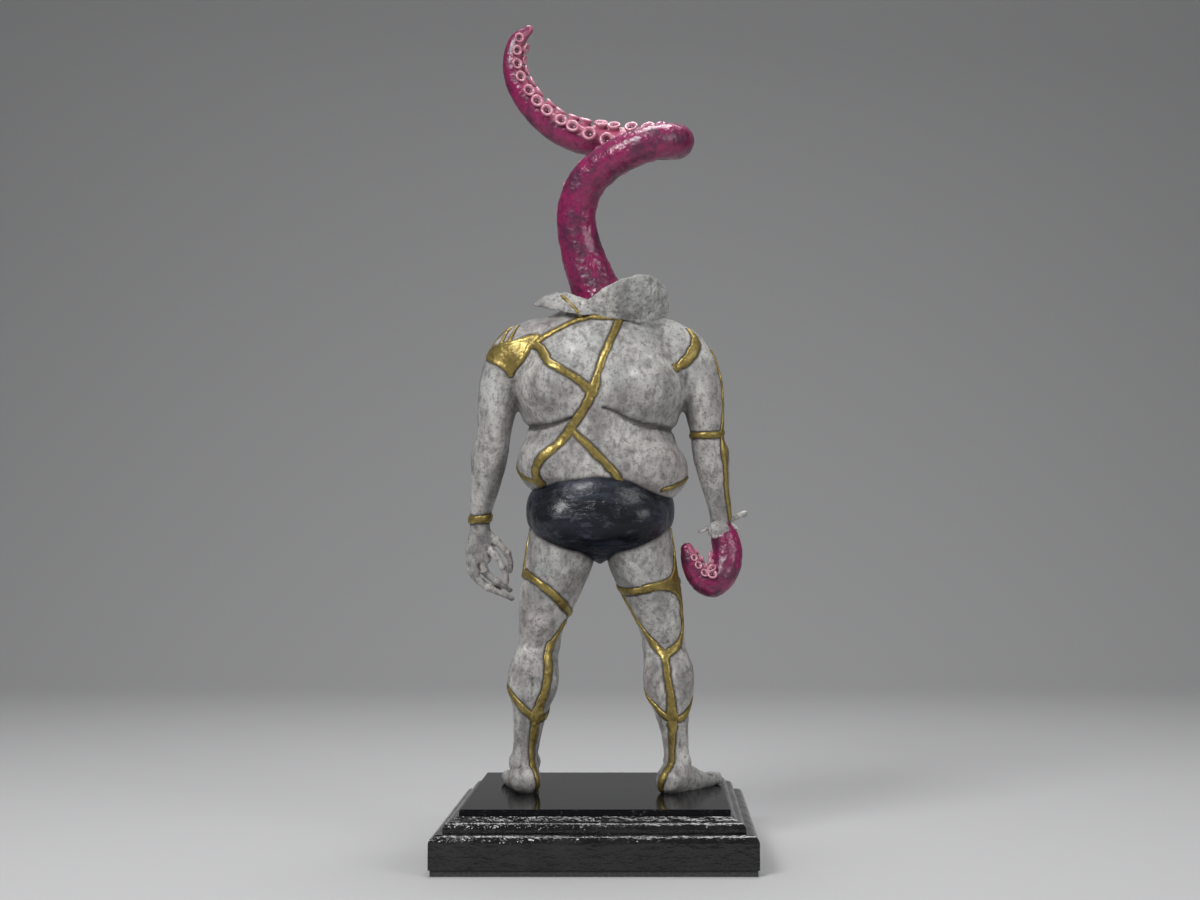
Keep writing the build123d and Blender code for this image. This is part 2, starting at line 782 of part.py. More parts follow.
with BuildPart() as left_hand:
    add(left_whole_arm.part)
    split(bisect_by=left_wrist_break, keep=Keep.BOTTOM)
    loft(
        sections=[
            oval(
                Plane(left_hand_top + Vector(0, forward * hand_length, -fall * hand_length)),
                wide * hand_half_width,
                deep * hand_half_depth,
            )
            for fall, forward, wide, deep in palm_shares
        ]
    )
    for finger in finger_shares:
        joints = [left_hand_top + Vector(x, y, -fall) * hand_length for x, y, fall in finger]
        rings = zip(along_planes(joints), finger_taper_shares)
        loft(sections=[oval(plane, taper * finger_radius, taper * finger_radius) for plane, taper in rings])
    add(left_arm_bore.part, mode=Mode.SUBTRACT)


# Collar and petals: thin shell torn open and folded out, each piece a turned sector cut to a tongue.
def offset_points(points, thickness):
    """Gives the far side of a shell's profile, with its first point level with the near side's."""
    far_side = [(points[0][0] + abs(thickness), points[0][1])]
    for before, point, after in zip(points, points[1:], points[2:] + points[-1:]):
        run, climb = after[0] - before[0], after[1] - before[1]
        shift = thickness / hypot(run, climb)
        far_side.append((point[0] + climb * shift, point[1] - run * shift))
    return far_side


def shell_tongue(axis, profile_shares, root, rise, flare, thickness, facing, half_span, edge_rise):
    """Turns a flared shell round an axis and cuts it to a rounded tongue that faces one way."""
    ahead = Vector(cos(radians(facing)), sin(radians(facing)), 0)
    half_chord = (root + flare) * sin(radians(half_span))
    begin = Vector(cos(radians(facing - half_span)), sin(radians(facing - half_span)), 0)
    with BuildPart() as tongue:
        with BuildSketch(Plane(origin=axis.position, x_dir=begin, z_dir=begin.cross(Vector(0, 0, 1)))):
            with BuildLine():
                inner = [(root + out * flare, up * rise) for out, up in profile_shares]
                outer = offset_points(inner, thickness)
                Spline(*inner)
                Spline(*outer)
                Line(inner[0], outer[0])
                Line(inner[-1], outer[-1])
            make_face()
        revolve(axis=axis, revolution_arc=2 * half_span)
        with BuildSketch(Plane(origin=axis.position, x_dir=(-ahead.Y, ahead.X, 0), z_dir=ahead)):
            Ellipse(half_chord, abs(edge_rise))
        extrude(amount=2 * (root + flare), mode=Mode.INTERSECT)
    return tongue


neck_axis = Axis((0, 0, collar_height), (0, 0, 1))
wrist_axis = Axis(tuple(right_wrist), (0, 0, 1))
collar_profile_shares = ((0.00, 0.00), (0.16, 0.45), (0.50, 0.85), (1.00, 1.00))
folded_profile_shares = ((0.00, 0.00), (0.22, 0.75), (0.60, 1.00), (1.00, 0.78))
petal_profile_shares = ((-0.05, 0.30), (0.30, -0.20), (1.00, -1.00))
collar_root = neck_arm_root + collar_root_gap
flap_edge_share = 1.06
# Each pair is the compass angle that a flap faces and half of what it spans.
left_flap_angles = (-146, 42)
right_flap_angles = (-48, 50)
front_left_flap_angles = (128, 40)
front_right_flap_angles = (44, 38)


def collar_flap(profile_shares, flare_share, rise_share, facing, half_span):
    """Makes a flap that faces a compass angle and spans so many degrees to each side of it."""
    rise = rise_share * collar_rise
    flare = flare_share * collar_flare
    edge_rise = rise * flap_edge_share
    return shell_tongue(
        neck_axis, profile_shares, collar_root, rise, flare, collar_thickness, facing, half_span, edge_rise
    )


collar_left_flap = collar_flap(collar_profile_shares, 1.0, 0.62, *left_flap_angles)
collar_right_flap = collar_flap(folded_profile_shares, 1.0, 1.0, *right_flap_angles)
collar_front_left_flap = collar_flap(collar_profile_shares, 0.7, 0.8, *front_left_flap_angles)
collar_front_right_flap = collar_flap(folded_profile_shares, 0.8, 0.7, *front_right_flap_angles)

wrist_root = max(right_arm_stations[-1][3:]) + petal_clearance
petal_rows = ((-78, 40, 1.0), (16, 34, 0.7), (100, 36, 0.9), (190, 30, 0.6))
splinter_rows = ((-20, 22, 1.0), (-12, -34, 0.7), (-158, -14, 0.9), (-130, -50, 0.6), (60, 10, 0.7))

with BuildPart() as wrist_petals:
    for facing, half_span, size in petal_rows:
        petal = shell_tongue(
            wrist_axis,
            petal_profile_shares,
            wrist_root,
            petal_length * size,
            petal_length * 0.5 * size,
            -petal_thickness,
            facing,
            half_span,
            petal_length * size,
        )
        add(petal.part)
    for facing, tip, size in splinter_rows:
        out = Vector(cos(radians(facing)), sin(radians(facing)), 0)
        point = out * cos(radians(tip)) + Vector(0, 0, sin(radians(tip)))
        foot_middle = right_wrist + out * (wrist_root + splinter_radius * 0.6)
        with BuildSketch(Plane(origin=foot_middle, z_dir=point)):
            Circle(splinter_radius * size)
        extrude(amount=petal_length * 0.7 * size, taper=6)


# Gold seams: flat beads that rest on the shards along the breaks. A row gives height, compass angle and
# width, the last as a share of the usual width. An angle of -90 looks straight at the back.
bead_profile_shares = ((-1, -1), (1, -1), (0.8, 0.35), (0.35, 1), (-0.35, 1), (-0.8, 0.35))


def outer_spot(form, start, direction):
    """Finds the outermost point of a form along a ray from inside it, and which way it faces there."""
    ray = Axis(start, direction)
    hits = [hit for face in form.part.faces() for hit in face.find_intersection_points(ray)]
    point, normal = max(hits, key=lambda hit: (hit[0] - start).dot(direction))
    return (point, normal if normal.dot(direction) > 0 else -normal)


def bead_rings(spots):
    """Draws the flat-footed sections of a bead over a list of points, ways out and width shares."""
    points = [point for point, _, _ in spots]
    lift = seam_half_height + seat_clearance
    rings = []
    for index, (point, out, width) in enumerate(spots):
        after = points[min(index + 1, len(points) - 1)]
        before = points[max(index - 1, 0)]
        ahead = (after - before).normalized()
        out = (out - ahead * out.dot(ahead)).normalized()
        half_width = width * seam_half_width
        with BuildSketch(Plane(origin=point + out * lift, x_dir=out.cross(ahead), z_dir=ahead)) as ring:
            Polygon(*[(x * half_width, y * seam_half_height) for x, y in bead_profile_shares], align=None)
        rings.append(ring.sketch)
    return rings


def bead(rings):
    with BuildPart() as strip:
        loft(sections=rings)
    return strip.part


def open_seam(forms, stations, rows):
    """Runs a bead from row to row over the upper or lower of the forms, in steps of a few millimetres."""
    around = max(row[3] for row in stations)
    fine_rows = []
    for row, following in zip(rows, rows[1:]):
        climb = abs(following[0] - row[0]) * figure_height
        turn = radians(abs(following[1] - row[1])) * around
        steps = ceil(hypot(climb, turn) / seam_step)
        for step in range(steps):
            share = step / steps
            fine_rows.append([a + (b - a) * share for a, b in zip(row, following)])
    fine_rows.append(rows[-1])
    spots = []
    for rise, angle, width in fine_rows:
        start = middle_at(stations, level(rise))
        form = next(f for f in forms if f.part.bounding_box().max.Z >= start.Z)
        direction = Vector(cos(radians(angle)), sin(radians(angle)), 0)
        spots.append((*outer_spot(form, start, direction), width))
    return bead(bead_rings(spots))


def band(form, plane, width=1.0):
    """Runs a bead round a limb, in the plane on which it is broken. Its ends all but meet in front."""
    spots = []
    for turn in range(band_steps + 1):
        angle = radians(band_start + (360 - band_opening) * turn / band_steps)
        direction = plane.x_dir * cos(angle) + plane.y_dir * sin(angle)
        spots.append((*outer_spot(form, plane.origin, direction), width))
    with BuildPart() as ring:
        add(bead(bead_rings(spots)))
    return ring


def seam_group(strips):
    with BuildPart() as group:
        add(strips)
    return group


torso_forms = (lower_torso, upper_torso)
torso_line = lower_torso_stations + upper_torso_stations

main_seam_shares = (
    (0.956, -66, 0.9),
    (0.930, -74, 1.0),
    (0.890, -84, 1.0),
    (0.850, -90, 1.0),
    (0.812, -95, 1.3),
    (0.780, -101, 1.1),
    (0.752, -109, 1.1),
)
cross_seam_shares = ((0.900, -144, 1.1), (0.866, -127, 1.1), (0.838, -112, 1.0), (0.828, -104, 0.8))
waist_seam_shares = ((0.726, -117, 1.2), (0.700, -127, 1.2), (0.668, -137, 1.1), (0.636, -144, 1.2))
branch_seam_shares = ((0.712, -106, 0.8), (0.690, -94, 1.0), (0.660, -81, 1.0), (0.634, -70, 0.8))
shoulder_seam_shares = ((0.916, -147, 0.9), (0.934, -134, 0.9), (0.949, -114, 0.8), (0.957, -86, 0.7))
front_seam_shares = ((0.930, 128, 0.9), (0.880, 104, 1.1), (0.820, 88, 1.2), (0.768, 74, 1.0))
belly_seam_shares = ((0.720, 70, 1.0), (0.690, 62, 1.1), (0.655, 46, 1.0), (0.634, 30, 0.9))
left_hip_seam_shares = ((0.668, -180, 0.6), (0.646, -166, 0.9), (0.634, -150, 1.0))
right_hip_seam_shares = ((0.654, -4, 0.6), (0.638, -20, 0.9), (0.632, -38, 1.0))
left_patch_shares = ((0.914, -172, 1.1), (0.908, -140, 1.8), (0.894, -100, 2.0), (0.870, -66, 1.0))
right_crescent_shares = ((0.930, -35, 1.0), (0.912, -62, 1.6), (0.888, -92, 1.6), (0.862, -122, 1.0))
right_arm_seam_shares = (
    (0.712, -30, 1.1),
    (0.690, -38, 1.7),
    (0.660, -44, 1.0),
    (0.610, -46, 1.0),
    (0.560, -36, 0.9),
)
right_arm_line_shares = ((0.860, -20, 0.6), (0.800, -14, 0.7), (0.752, -18, 0.9))
left_thigh_seam_shares = ((0.525, -176, 0.6), (0.500, -172, 0.7), (0.472, -168, 0.8))
left_knee_seam_shares = (
    (0.322, -30, 0.8),
    (0.305, -44, 1.0),
    (0.285, -56, 1.2),
    (0.250, -52, 1.2),
    (0.210, -56, 1.1),
    (0.178, -66, 1.2),
)
left_ankle_seam_shares = ((0.126, -66, 1.1), (0.110, -62, 1.1), (0.085, -60, 0.9))
right_thigh_seam_shares = ((0.500, -14, 0.5), (0.460, -16, 0.7), (0.438, -18, 1.0))
right_outer_seam_shares = ((0.405, -22, 1.0), (0.360, -24, 0.8), (0.320, -30, 0.9), (0.285, -78, 1.1))
right_inner_seam_shares = ((0.402, -160, 0.8), (0.350, -150, 0.7), (0.310, -128, 0.9), (0.286, -100, 1.1))
right_calf_seam_shares = ((0.272, -92, 1.2), (0.240, -92, 1.0), (0.205, -90, 1.1), (0.178, -88, 1.3))
right_ankle_seam_shares = ((0.128, -94, 1.2), (0.108, -102, 1.0), (0.088, -110, 0.9))

back_seams = seam_group(
    [open_seam(torso_forms, torso_line, rows) for rows in (main_seam_shares, cross_seam_shares)]
)
waist_seams = seam_group(
    [open_seam(torso_forms, torso_line, rows) for rows in (waist_seam_shares, branch_seam_shares)]
)
shoulder_seam = seam_group([open_seam(torso_forms, torso_line, shoulder_seam_shares)])
front_seams = seam_group(
    [open_seam(torso_forms, torso_line, rows) for rows in (front_seam_shares, belly_seam_shares)]
)
hip_seams = seam_group(
    [open_seam(torso_forms, torso_line, rows) for rows in (left_hip_seam_shares, right_hip_seam_shares)]
)
left_shoulder_patch = seam_group([open_seam([left_whole_arm], left_arm_stations, left_patch_shares)])
right_shoulder_crescent = seam_group(
    [open_seam([right_whole_arm], right_arm_stations, right_crescent_shares)]
)
right_arm_seams = seam_group(
    [
        open_seam([right_whole_arm], right_arm_stations, rows)
        for rows in (right_arm_line_shares, right_arm_seam_shares)
    ]
)
left_leg_seams = seam_group(
    [
        open_seam([left_leg], left_leg_stations, rows)
        for rows in (left_thigh_seam_shares, left_knee_seam_shares, left_ankle_seam_shares)
    ]
)
right_leg_seams = seam_group(
    [
        open_seam([right_leg], right_leg_stations, rows)
        for rows in (
            right_thigh_seam_shares,
            right_outer_seam_shares,
            right_inner_seam_shares,
            right_calf_seam_shares,
            right_ankle_seam_shares,
        )
    ]
)
left_wrist_band = band(left_whole_arm, left_wrist_break, 1.1)
right_elbow_band = band(right_whole_arm, right_elbow_break)
left_thigh_band = band(left_leg, left_thigh_break, 1.2)
left_shin_band = band(left_leg, left_shin_break)
right_thigh_band = band(right_leg, right_thigh_break, 1.3)
right_shin_band = band(right_leg, right_shin_break)

for name, piece in (
    ("upper_torso", upper_torso),
    ("lower_torso", lower_torso),
    ("trunks", trunks),
    ("left_thigh", left_thigh),
    ("right_thigh", right_thigh),
    ("left_calf", left_calf),
    ("right_calf", right_calf),
    ("left_arm", left_arm),
    ("right_upper_arm", right_upper_arm),
    ("right_forearm", right_forearm),
    ("left_foot", left_foot),
    ("right_foot", right_foot),
    ("left_hand", left_hand),
    ("collar_left_flap", collar_left_flap),
    ("collar_right_flap", collar_right_flap),
    ("collar_front_left_flap", collar_front_left_flap),
    ("collar_front_right_flap", collar_front_right_flap),
    ("wrist_petals", wrist_petals),
    ("neck_octopus_arm", neck_octopus_arm),
    ("wrist_octopus_arm", wrist_octopus_arm),
    ("neck_suckers", neck_suckers),
    ("wrist_suckers", wrist_suckers),
    ("back_seams", back_seams),
    ("waist_seams", waist_seams),
    ("shoulder_seam", shoulder_seam),
    ("front_seams", front_seams),
    ("hip_seams", hip_seams),
    ("left_shoulder_patch", left_shoulder_patch),
    ("right_shoulder_crescent", right_shoulder_crescent),
    ("right_arm_seams", right_arm_seams),
    ("left_leg_seams", left_leg_seams),
    ("right_leg_seams", right_leg_seams),
    ("left_wrist_band", left_wrist_band),
    ("right_elbow_band", right_elbow_band),
    ("left_thigh_band", left_thigh_band),
    ("left_shin_band", left_shin_band),
    ("right_thigh_band", right_thigh_band),
    ("right_shin_band", right_shin_band),
    ("neck_arm_wire", neck_arm_wire),
    ("wrist_arm_wire", wrist_arm_wire),
):
    finish(name, piece)
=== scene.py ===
from math import ceil, cos, pi, radians, sin

import bmesh
import bpy
import numpy as np
from mathutils import Matrix, Vector, noise
from mathutils.bvhtree import BVHTree


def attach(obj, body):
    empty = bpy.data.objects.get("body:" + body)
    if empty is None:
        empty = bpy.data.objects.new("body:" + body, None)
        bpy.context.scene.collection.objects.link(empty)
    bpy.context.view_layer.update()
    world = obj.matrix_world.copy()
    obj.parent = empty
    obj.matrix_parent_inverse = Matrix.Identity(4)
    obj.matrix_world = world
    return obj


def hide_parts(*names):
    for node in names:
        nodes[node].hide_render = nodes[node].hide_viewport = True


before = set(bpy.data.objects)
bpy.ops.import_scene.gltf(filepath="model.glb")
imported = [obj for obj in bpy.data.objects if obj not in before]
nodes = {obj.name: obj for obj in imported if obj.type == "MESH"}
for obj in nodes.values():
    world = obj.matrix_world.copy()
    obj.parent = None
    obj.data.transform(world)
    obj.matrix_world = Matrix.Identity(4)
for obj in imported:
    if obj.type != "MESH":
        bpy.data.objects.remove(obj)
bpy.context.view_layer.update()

scene = bpy.context.scene
mm = 0.001

# Camera: it stands behind the statuette at about a third of its height and looks a little up, on a long
# lens whose picture is shifted sideways.
camera_data = bpy.data.cameras.new("camera")
camera_data.sensor_width = 36
camera_data.lens = 49.57
camera_data.shift_x = -0.0483
camera = bpy.data.objects.new("camera", camera_data)
camera.location = (0.0294, -0.843, 0.1516)
camera.rotation_euler = (radians(93.317), 0, 0)
scene.collection.objects.link(camera)
scene.camera = camera
scene.view_settings.view_transform = "Standard"

# Studio: a pale sheet that runs back and curves up behind, a grey world, and three soft panels. The key
# panel is high on the left of the camera, a weaker one fills from the right, one lights from above.
def plug(paint, node, socket, value):
    """Fills a node's input with a plain value, or joins another node's output to it."""
    if isinstance(value, bpy.types.NodeSocket):
        paint.node_tree.links.new(value, node.inputs[socket])
    else:
        node.inputs[socket].default_value = value


def feed(paint, **inputs):
    """Fills the shader's own sockets."""
    for socket, value in inputs.items():
        plug(paint, paint.node_tree.nodes["Principled BSDF"], socket.replace("_", " "), value)


def material(name, **inputs):
    paint = bpy.data.materials.new(name)
    paint.use_nodes = True
    feed(paint, **inputs)
    return paint


floor_bm = bmesh.new()
sheet = [(-3.0, 0.0), (0.9, 0.0)]
sheet += [(0.9 + 0.7 * sin(radians(turn)), 0.7 - 0.7 * cos(radians(turn))) for turn in range(6, 91, 6)]
sheet += [(1.6, 4.0)]
rim = [floor_bm.verts.new((-5, y, z)) for y, z in sheet]
rim_edges = [floor_bm.edges.new(pair) for pair in zip(rim, rim[1:])]
grown = bmesh.ops.extrude_edge_only(floor_bm, edges=rim_edges)["geom"]
far_rim = [item for item in grown if isinstance(item, bmesh.types.BMVert)]
bmesh.ops.translate(floor_bm, verts=far_rim, vec=(10, 0, 0))
for face in floor_bm.faces:
    face.smooth = True
floor_mesh = bpy.data.meshes.new("floor")
floor_bm.to_mesh(floor_mesh)
floor = bpy.data.objects.new("floor", floor_mesh)
scene.collection.objects.link(floor)
floor_mesh.materials.append(material("floor_paint", Base_Color=(0.42, 0.42, 0.425, 1), Roughness=0.85))

world = bpy.data.worlds.new("studio")
world.use_nodes = True
backdrop = world.node_tree.nodes["Background"]
backdrop.inputs["Color"].default_value = (0.60, 0.61, 0.62, 1)
backdrop.inputs["Strength"].default_value = 0.30
scene.world = world

for name, place, size, power in (
    ("key", (-0.55, -0.85, 0.95), 0.45, 12),
    ("fill", (0.9, -0.8, 0.6), 0.6, 5),
    ("top", (0.05, 0.15, 1.15), 0.55, 9),
):
    lamp_data = bpy.data.lights.new(name, "AREA")
    lamp_data.size = size
    lamp_data.energy = power
    lamp = bpy.data.objects.new(name, lamp_data)
    lamp.location = place
    lamp.rotation_euler = (Vector((0, 0, 0.2)) - Vector(place)).to_track_quat("-Z", "Y").to_euler()
    scene.collection.objects.link(lamp)

# Plinth: a square stepped base in thick black enamel, brushed on so that its mouldings have wrinkled.
# The plate on top is polished like a mirror, and a felt pad is glued underneath.
patches = bpy.data.node_groups.new("patches", "ShaderNodeTree")
for label in ("Vector", "Scale", "Detail", "Low", "High"):
    kind = "NodeSocketVector" if label == "Vector" else "NodeSocketFloat"
    patches.interface.new_socket(label, in_out="INPUT", socket_type=kind)
patches.interface.new_socket("Mask", in_out="OUTPUT", socket_type="NodeSocketFloat")
patches_in, patches_out, cloud, cut = (
    patches.nodes.new(kind)
    for kind in ("NodeGroupInput", "NodeGroupOutput", "ShaderNodeTexNoise", "ShaderNodeMapRange")
)
cloud.inputs["Roughness"].default_value = 0.62
for source, target in (
    (patches_in.outputs["Vector"], cloud.inputs["Vector"]),
    (patches_in.outputs["Scale"], cloud.inputs["Scale"]),
    (patches_in.outputs["Detail"], cloud.inputs["Detail"]),
    (cloud.outputs["Fac"], cut.inputs["Value"]),
    (patches_in.outputs["Low"], cut.inputs["From Min"]),
    (patches_in.outputs["High"], cut.inputs["From Max"]),
    (cut.outputs["Result"], patches_out.inputs["Mask"]),
):
    patches.links.new(source, target)


def add_node(paint, kind, **inputs):
    """Adds a node and fills its inputs."""
    node = paint.node_tree.nodes.new(kind)
    for socket, value in inputs.items():
        plug(paint, node, socket.replace("_", " "), value)
    return node


def mask(paint, scale, low, high, detail=4, stretch=(1, 1, 1)):
    """Places the patches group on the piece's own coordinates."""
    place = add_node(paint, "ShaderNodeTexCoord").outputs["Object"]
    mapping = add_node(paint, "ShaderNodeMapping", Vector=place, Scale=stretch)
    group = paint.node_tree.nodes.new("ShaderNodeGroup")
    group.node_tree = patches
    for socket, value in enumerate((mapping.outputs["Vector"], scale, detail, low, high)):
        plug(paint, group, socket, value)
    return group.outputs["Mask"]


def scaled(paint, value, low, high):
    """Maps a mask to a plain range."""
    return add_node(paint, "ShaderNodeMapRange", Value=value, To_Min=low, To_Max=high).outputs["Result"]


def finish(paint, base, coats, rough=None, bumps=()):
    """Lays coats over a base colour, each a mask, the share of it that shows and a colour. Rough is a mask
    and its range, and each bump has a height, a strength and a depth."""
    colour = (*base, 1)
    for amount, share, coat in coats:
        mix = paint.node_tree.nodes.new("ShaderNodeMix")
        mix.data_type = "RGBA"
        amount = scaled(paint, amount, 0, share) if share < 1 else amount
        for socket, value in ((0, amount), (6, colour), (7, (*coat, 1))):
            plug(paint, mix, socket, value)
        colour = mix.outputs[2]
    feed(paint, Base_Color=colour)
    if rough:
        feed(paint, Roughness=scaled(paint, *rough))
    normal = None
    for height, strength, depth in bumps:
        bump = add_node(paint, "ShaderNodeBump", Height=height, Strength=strength, Distance=depth)
        if normal:
            plug(paint, bump, "Normal", normal)
        normal = bump.outputs["Normal"]
    if normal:
        feed(paint, Normal=normal)


def coat_piece(piece, paint):
    piece.data.materials.clear()
    piece.data.materials.append(paint)


enamel = material("wrinkled_enamel", Coat_Weight=0.25, Coat_Roughness=0.05)
grime = mask(enamel, 55, 0.42, 0.66)
finish(
    enamel,
    (0.004, 0.004, 0.0045),
    ((grime, 1, (0.012, 0.0115, 0.011)),),
    (grime, 0.08, 0.22),
    ((mask(enamel, 120, 0.3, 0.7, 3, (1, 1, 2.2)), 0.55, 0.0009), (mask(enamel, 420, 0.3, 0.7, 2), 0.25, 0.0003)),
)
for name in ("plinth_block", "plinth_moulding"):
    coat_piece(nodes[name], enamel)

polish = material("polished_plate", IOR=1.2, Specular_IOR_Level=0.3)
dust, smear = mask(polish, 700, 0.60, 0.72, 2), mask(polish, 22, 0.40, 0.70)
finish(polish, (0.005, 0.005, 0.006), ((dust, 1, (0.05, 0.05, 0.05)),), (smear, 0.07, 0.16))
coat_piece(nodes["plinth_top_plate"], polish)

felt = material("felt", Roughness=0.95, Sheen_Weight=0.3)
fibres = mask(felt, 900, 0.35, 0.65, 5)
finish(felt, (0.018, 0.018, 0.018), ((fibres, 1, (0.05, 0.05, 0.05)),), bumps=((fibres, 0.4, 0.0004),))
coat_piece(nodes["base_pad"], felt)

# Fixings: steel screws, rods, nuts, washers and wires. They hold the casting up, are hidden in it and are
# shown by their solids, in drawn steel.
steel = material("drawn_steel", Metallic=1.0)
streaks = mask(steel, 300, 0.3, 0.7, 4, (1, 1, 0.08))
finish(steel, (0.50, 0.50, 0.52), ((streaks, 1, (0.66, 0.66, 0.67)),), (streaks, 0.28, 0.42))
fixings = ("plinth_screws", "rod_washers", "rod_nuts", "left_leg_rod", "right_leg_rod", "left_arm_wire")
fixings += ("right_arm_wire", "spine_rod", "neck_arm_wire", "wrist_arm_wire")
for name in fixings:
    coat_piece(nodes[name], steel)


# Stone finish: resin cast and painted to look like pale weathered stone. A dark wash sits in the creases, partly a
# real wash and partly painted shade. Painted shade lies beside and under the seams and where the stone meets the
# trunks, and light brushing on the raised parts leaves faint pink and green patches.
def stored(paint, name):
    """Reads a value that each point of the piece holds."""
    attribute = paint.node_tree.nodes.new("ShaderNodeAttribute")
    attribute.attribute_name = name
    return attribute.outputs["Fac"]


stone = material("weathered_stone", Coat_Weight=0.12, Coat_Roughness=0.35)
broad = mask(stone, 58, 0.40, 0.62, 6, (1, 1, 0.75))
pink, green = mask(stone, 30, 0.50, 0.72, 2), mask(stone, 26, 0.48, 0.70, 2, (1.3, 1, 0.8))
streak, speck = mask(stone, 120, 0.48, 0.64, 6, (1, 1, 0.34)), mask(stone, 330, 0.48, 0.63, 6, (1, 1, 0.7))
finish(
    stone,
    (0.50, 0.485, 0.46),
    (
        (broad, 0.78, (0.205, 0.197, 0.192)),
        (pink, 0.35, (0.43, 0.34, 0.34)),
        (green, 0.30, (0.36, 0.41, 0.40)),
        (streak, 0.60, (0.14, 0.132, 0.133)),
        (speck, 0.62, (0.115, 0.107, 0.108)),
        (mask(stone, 760, 0.55, 0.66, 3), 0.60, (0.06, 0.054, 0.056)),
        # Dark wash in the hollows, partly painted shade, and painted shade beside and under the gold and along the
        # trunks.
        (stored(stone, "wash_and_shade"), 1, (0.032, 0.027, 0.025)),
    ),
    (broad, 0.38, 0.62),
    ((mask(stone, 90, 0.3, 0.7, 4), 0.35, 0.0006), (mask(stone, 480, 0.35, 0.65, 4), 0.35, 0.00022)),
)

# Body casting: a heavyset torso with its arms, built up as one clay mass and cut into shards where it
# broke. Heights are shares of the figure's height above the plate, and the rest are shares of its sizes.
ground = 28.7 * mm
figure_height = 246 * mm


def level(share):
    return ground + share * figure_height


def eased(rows, steps):
    """Runs a smooth line through rows of numbers, with so many steps from one to the next."""
    out = []
    for i in range(len(rows) - 1):
        p0, p1, p2, p3 = (Vector(rows[min(max(i + k, 0), len(rows) - 1)]) for k in (-1, 0, 1, 2))
        for step in range(steps):
            t = step / steps
            curve = 2 * p1 + (p2 - p0) * t + (2 * p0 - 5 * p1 + 4 * p2 - p3) * t * t
            out.append(0.5 * (curve + (3 * (p1 - p2) + p3 - p0) * t**3))
    return out + [Vector(rows[-1])]


def skin(bm, sections, sides=40):
    """Skins a closed tube over sections, each a matrix that places and stretches a unit circle."""
    ring = bmesh.ops.create_circle(bm, segments=sides, radius=1, cap_ends=True)["verts"]
    bmesh.ops.transform(bm, matrix=sections[0], verts=ring)
    edges = list({edge for vert in ring for edge in vert.link_edges})
    for before, after in zip(sections, sections[1:]):
        grown = bmesh.ops.extrude_edge_only(bm, edges=edges)["geom"]
        verts = [item for item in grown if isinstance(item, bmesh.types.BMVert)]
        edges = [
            item
            for item in grown
            if isinstance(item, bmesh.types.BMEdge) and all(vert in verts for vert in item.verts)
        ]
        bmesh.ops.transform(bm, matrix=after @ before.inverted(), verts=verts)
    bmesh.ops.edgeloop_fill(bm, edges=edges)


def level_section(x, y, z, half_width, half_depth):
    return Matrix.Translation((x, y, z)) @ Matrix.Diagonal((half_width, half_depth, half_width, 1))


def limb_sections(rows, half_width, half_depth, steps, side=0, start=0, end=0):
    """Sets level sections down a form. Each row is a height, for a limb a place outwards, a place
    forwards, a width and a depth."""
    sections = []
    for rise, *place, forward, wide, deep in eased(rows, steps):
        x = side * (start + place[0] * (end - start)) if place else 0
        sections.append(level_section(x, forward * half_depth, level(rise), wide * half_width, deep * half_depth))
    return sections


def placed(place, axes, radii):
    """Gives the matrix that stretches a unit form, turns it to three axes and sets it at a place."""
    return Matrix.Translation(place) @ Matrix(axes).transposed().to_4x4() @ Matrix.Diagonal((*radii, 1))


def way_along(points, i):
    return (points[min(i + 1, len(points) - 1)] - points[max(i - 1, 0)]).normalized()


def run_sections(points, radii, flat=1.0):
    """Sets round sections square to a bent line, with no twist from one to the next."""
    side = Vector((1, 0, 0))
    sections = []
    for i, (point, radius) in enumerate(zip(points, radii)):
        ahead = way_along(points, i)
        side = (side - ahead * side.dot(ahead)).normalized()
        sections.append(placed(point, (side, ahead.cross(side), ahead), (radius, radius * flat, radius)))
    return sections


def lump(bm, place, radii, turn=0.0):
    """Adds an egg of clay."""
    matrix = Matrix.Translation(place) @ Matrix.Rotation(turn, 4, "Y") @ Matrix.Diagonal((*radii, 1))
    bmesh.ops.create_uvsphere(bm, u_segments=32, v_segments=20, radius=1, matrix=matrix)


def clay(name, bm, voxel, rounds):
    """Fuses the masses in a bmesh into one skin of even squares and smooths it."""
    bmesh.ops.recalc_face_normals(bm, faces=bm.faces)
    mesh = bpy.data.meshes.new(name)
    bm.to_mesh(mesh)
    bm.free()
    piece = bpy.data.objects.new(name, mesh)
    scene.collection.objects.link(piece)
    remesh = piece.modifiers.new("fuse", "REMESH")
    remesh.mode = "VOXEL"
    remesh.voxel_size = voxel
    remesh.use_smooth_shade = True
    if rounds:
        smooth = piece.modifiers.new("smooth", "SMOOTH")
        smooth.factor = 0.5
        smooth.iterations = rounds
    depsgraph = bpy.context.evaluated_depsgraph_get()
    piece.data = bpy.data.meshes.new_from_object(piece.evaluated_get(depsgraph))
    piece.modifiers.clear()
    piece.data.name = name
    return piece


def read_points(piece):
    """Gives a mesh's points and the way that each faces."""
    count = len(piece.data.vertices)
    points = np.empty(count * 3, np.float32)
    ways = np.empty(count * 3, np.float32)
    piece.data.vertices.foreach_get("co", points)
    piece.data.vertices.foreach_get("normal", ways)
    return points.reshape(-1, 3), ways.reshape(-1, 3)


def write_points(piece, points):
    piece.data.vertices.foreach_set("co", np.asarray(points, np.float32).ravel())
    piece.data.update()


def dab(piece, dabs):
    """Pushes the surface out or in with soft round dabs, each a place and, in mm, its radii and push."""
    points, ways = read_points(piece)
    moved = points.copy()
    for place, radii, push in dabs:
        away = (points - np.array(place)) / (np.array(radii) * mm)
        moved += ways * (push * mm * np.exp(-1.5 * (away**2).sum(1)))[:, None]
    write_points(piece, moved)


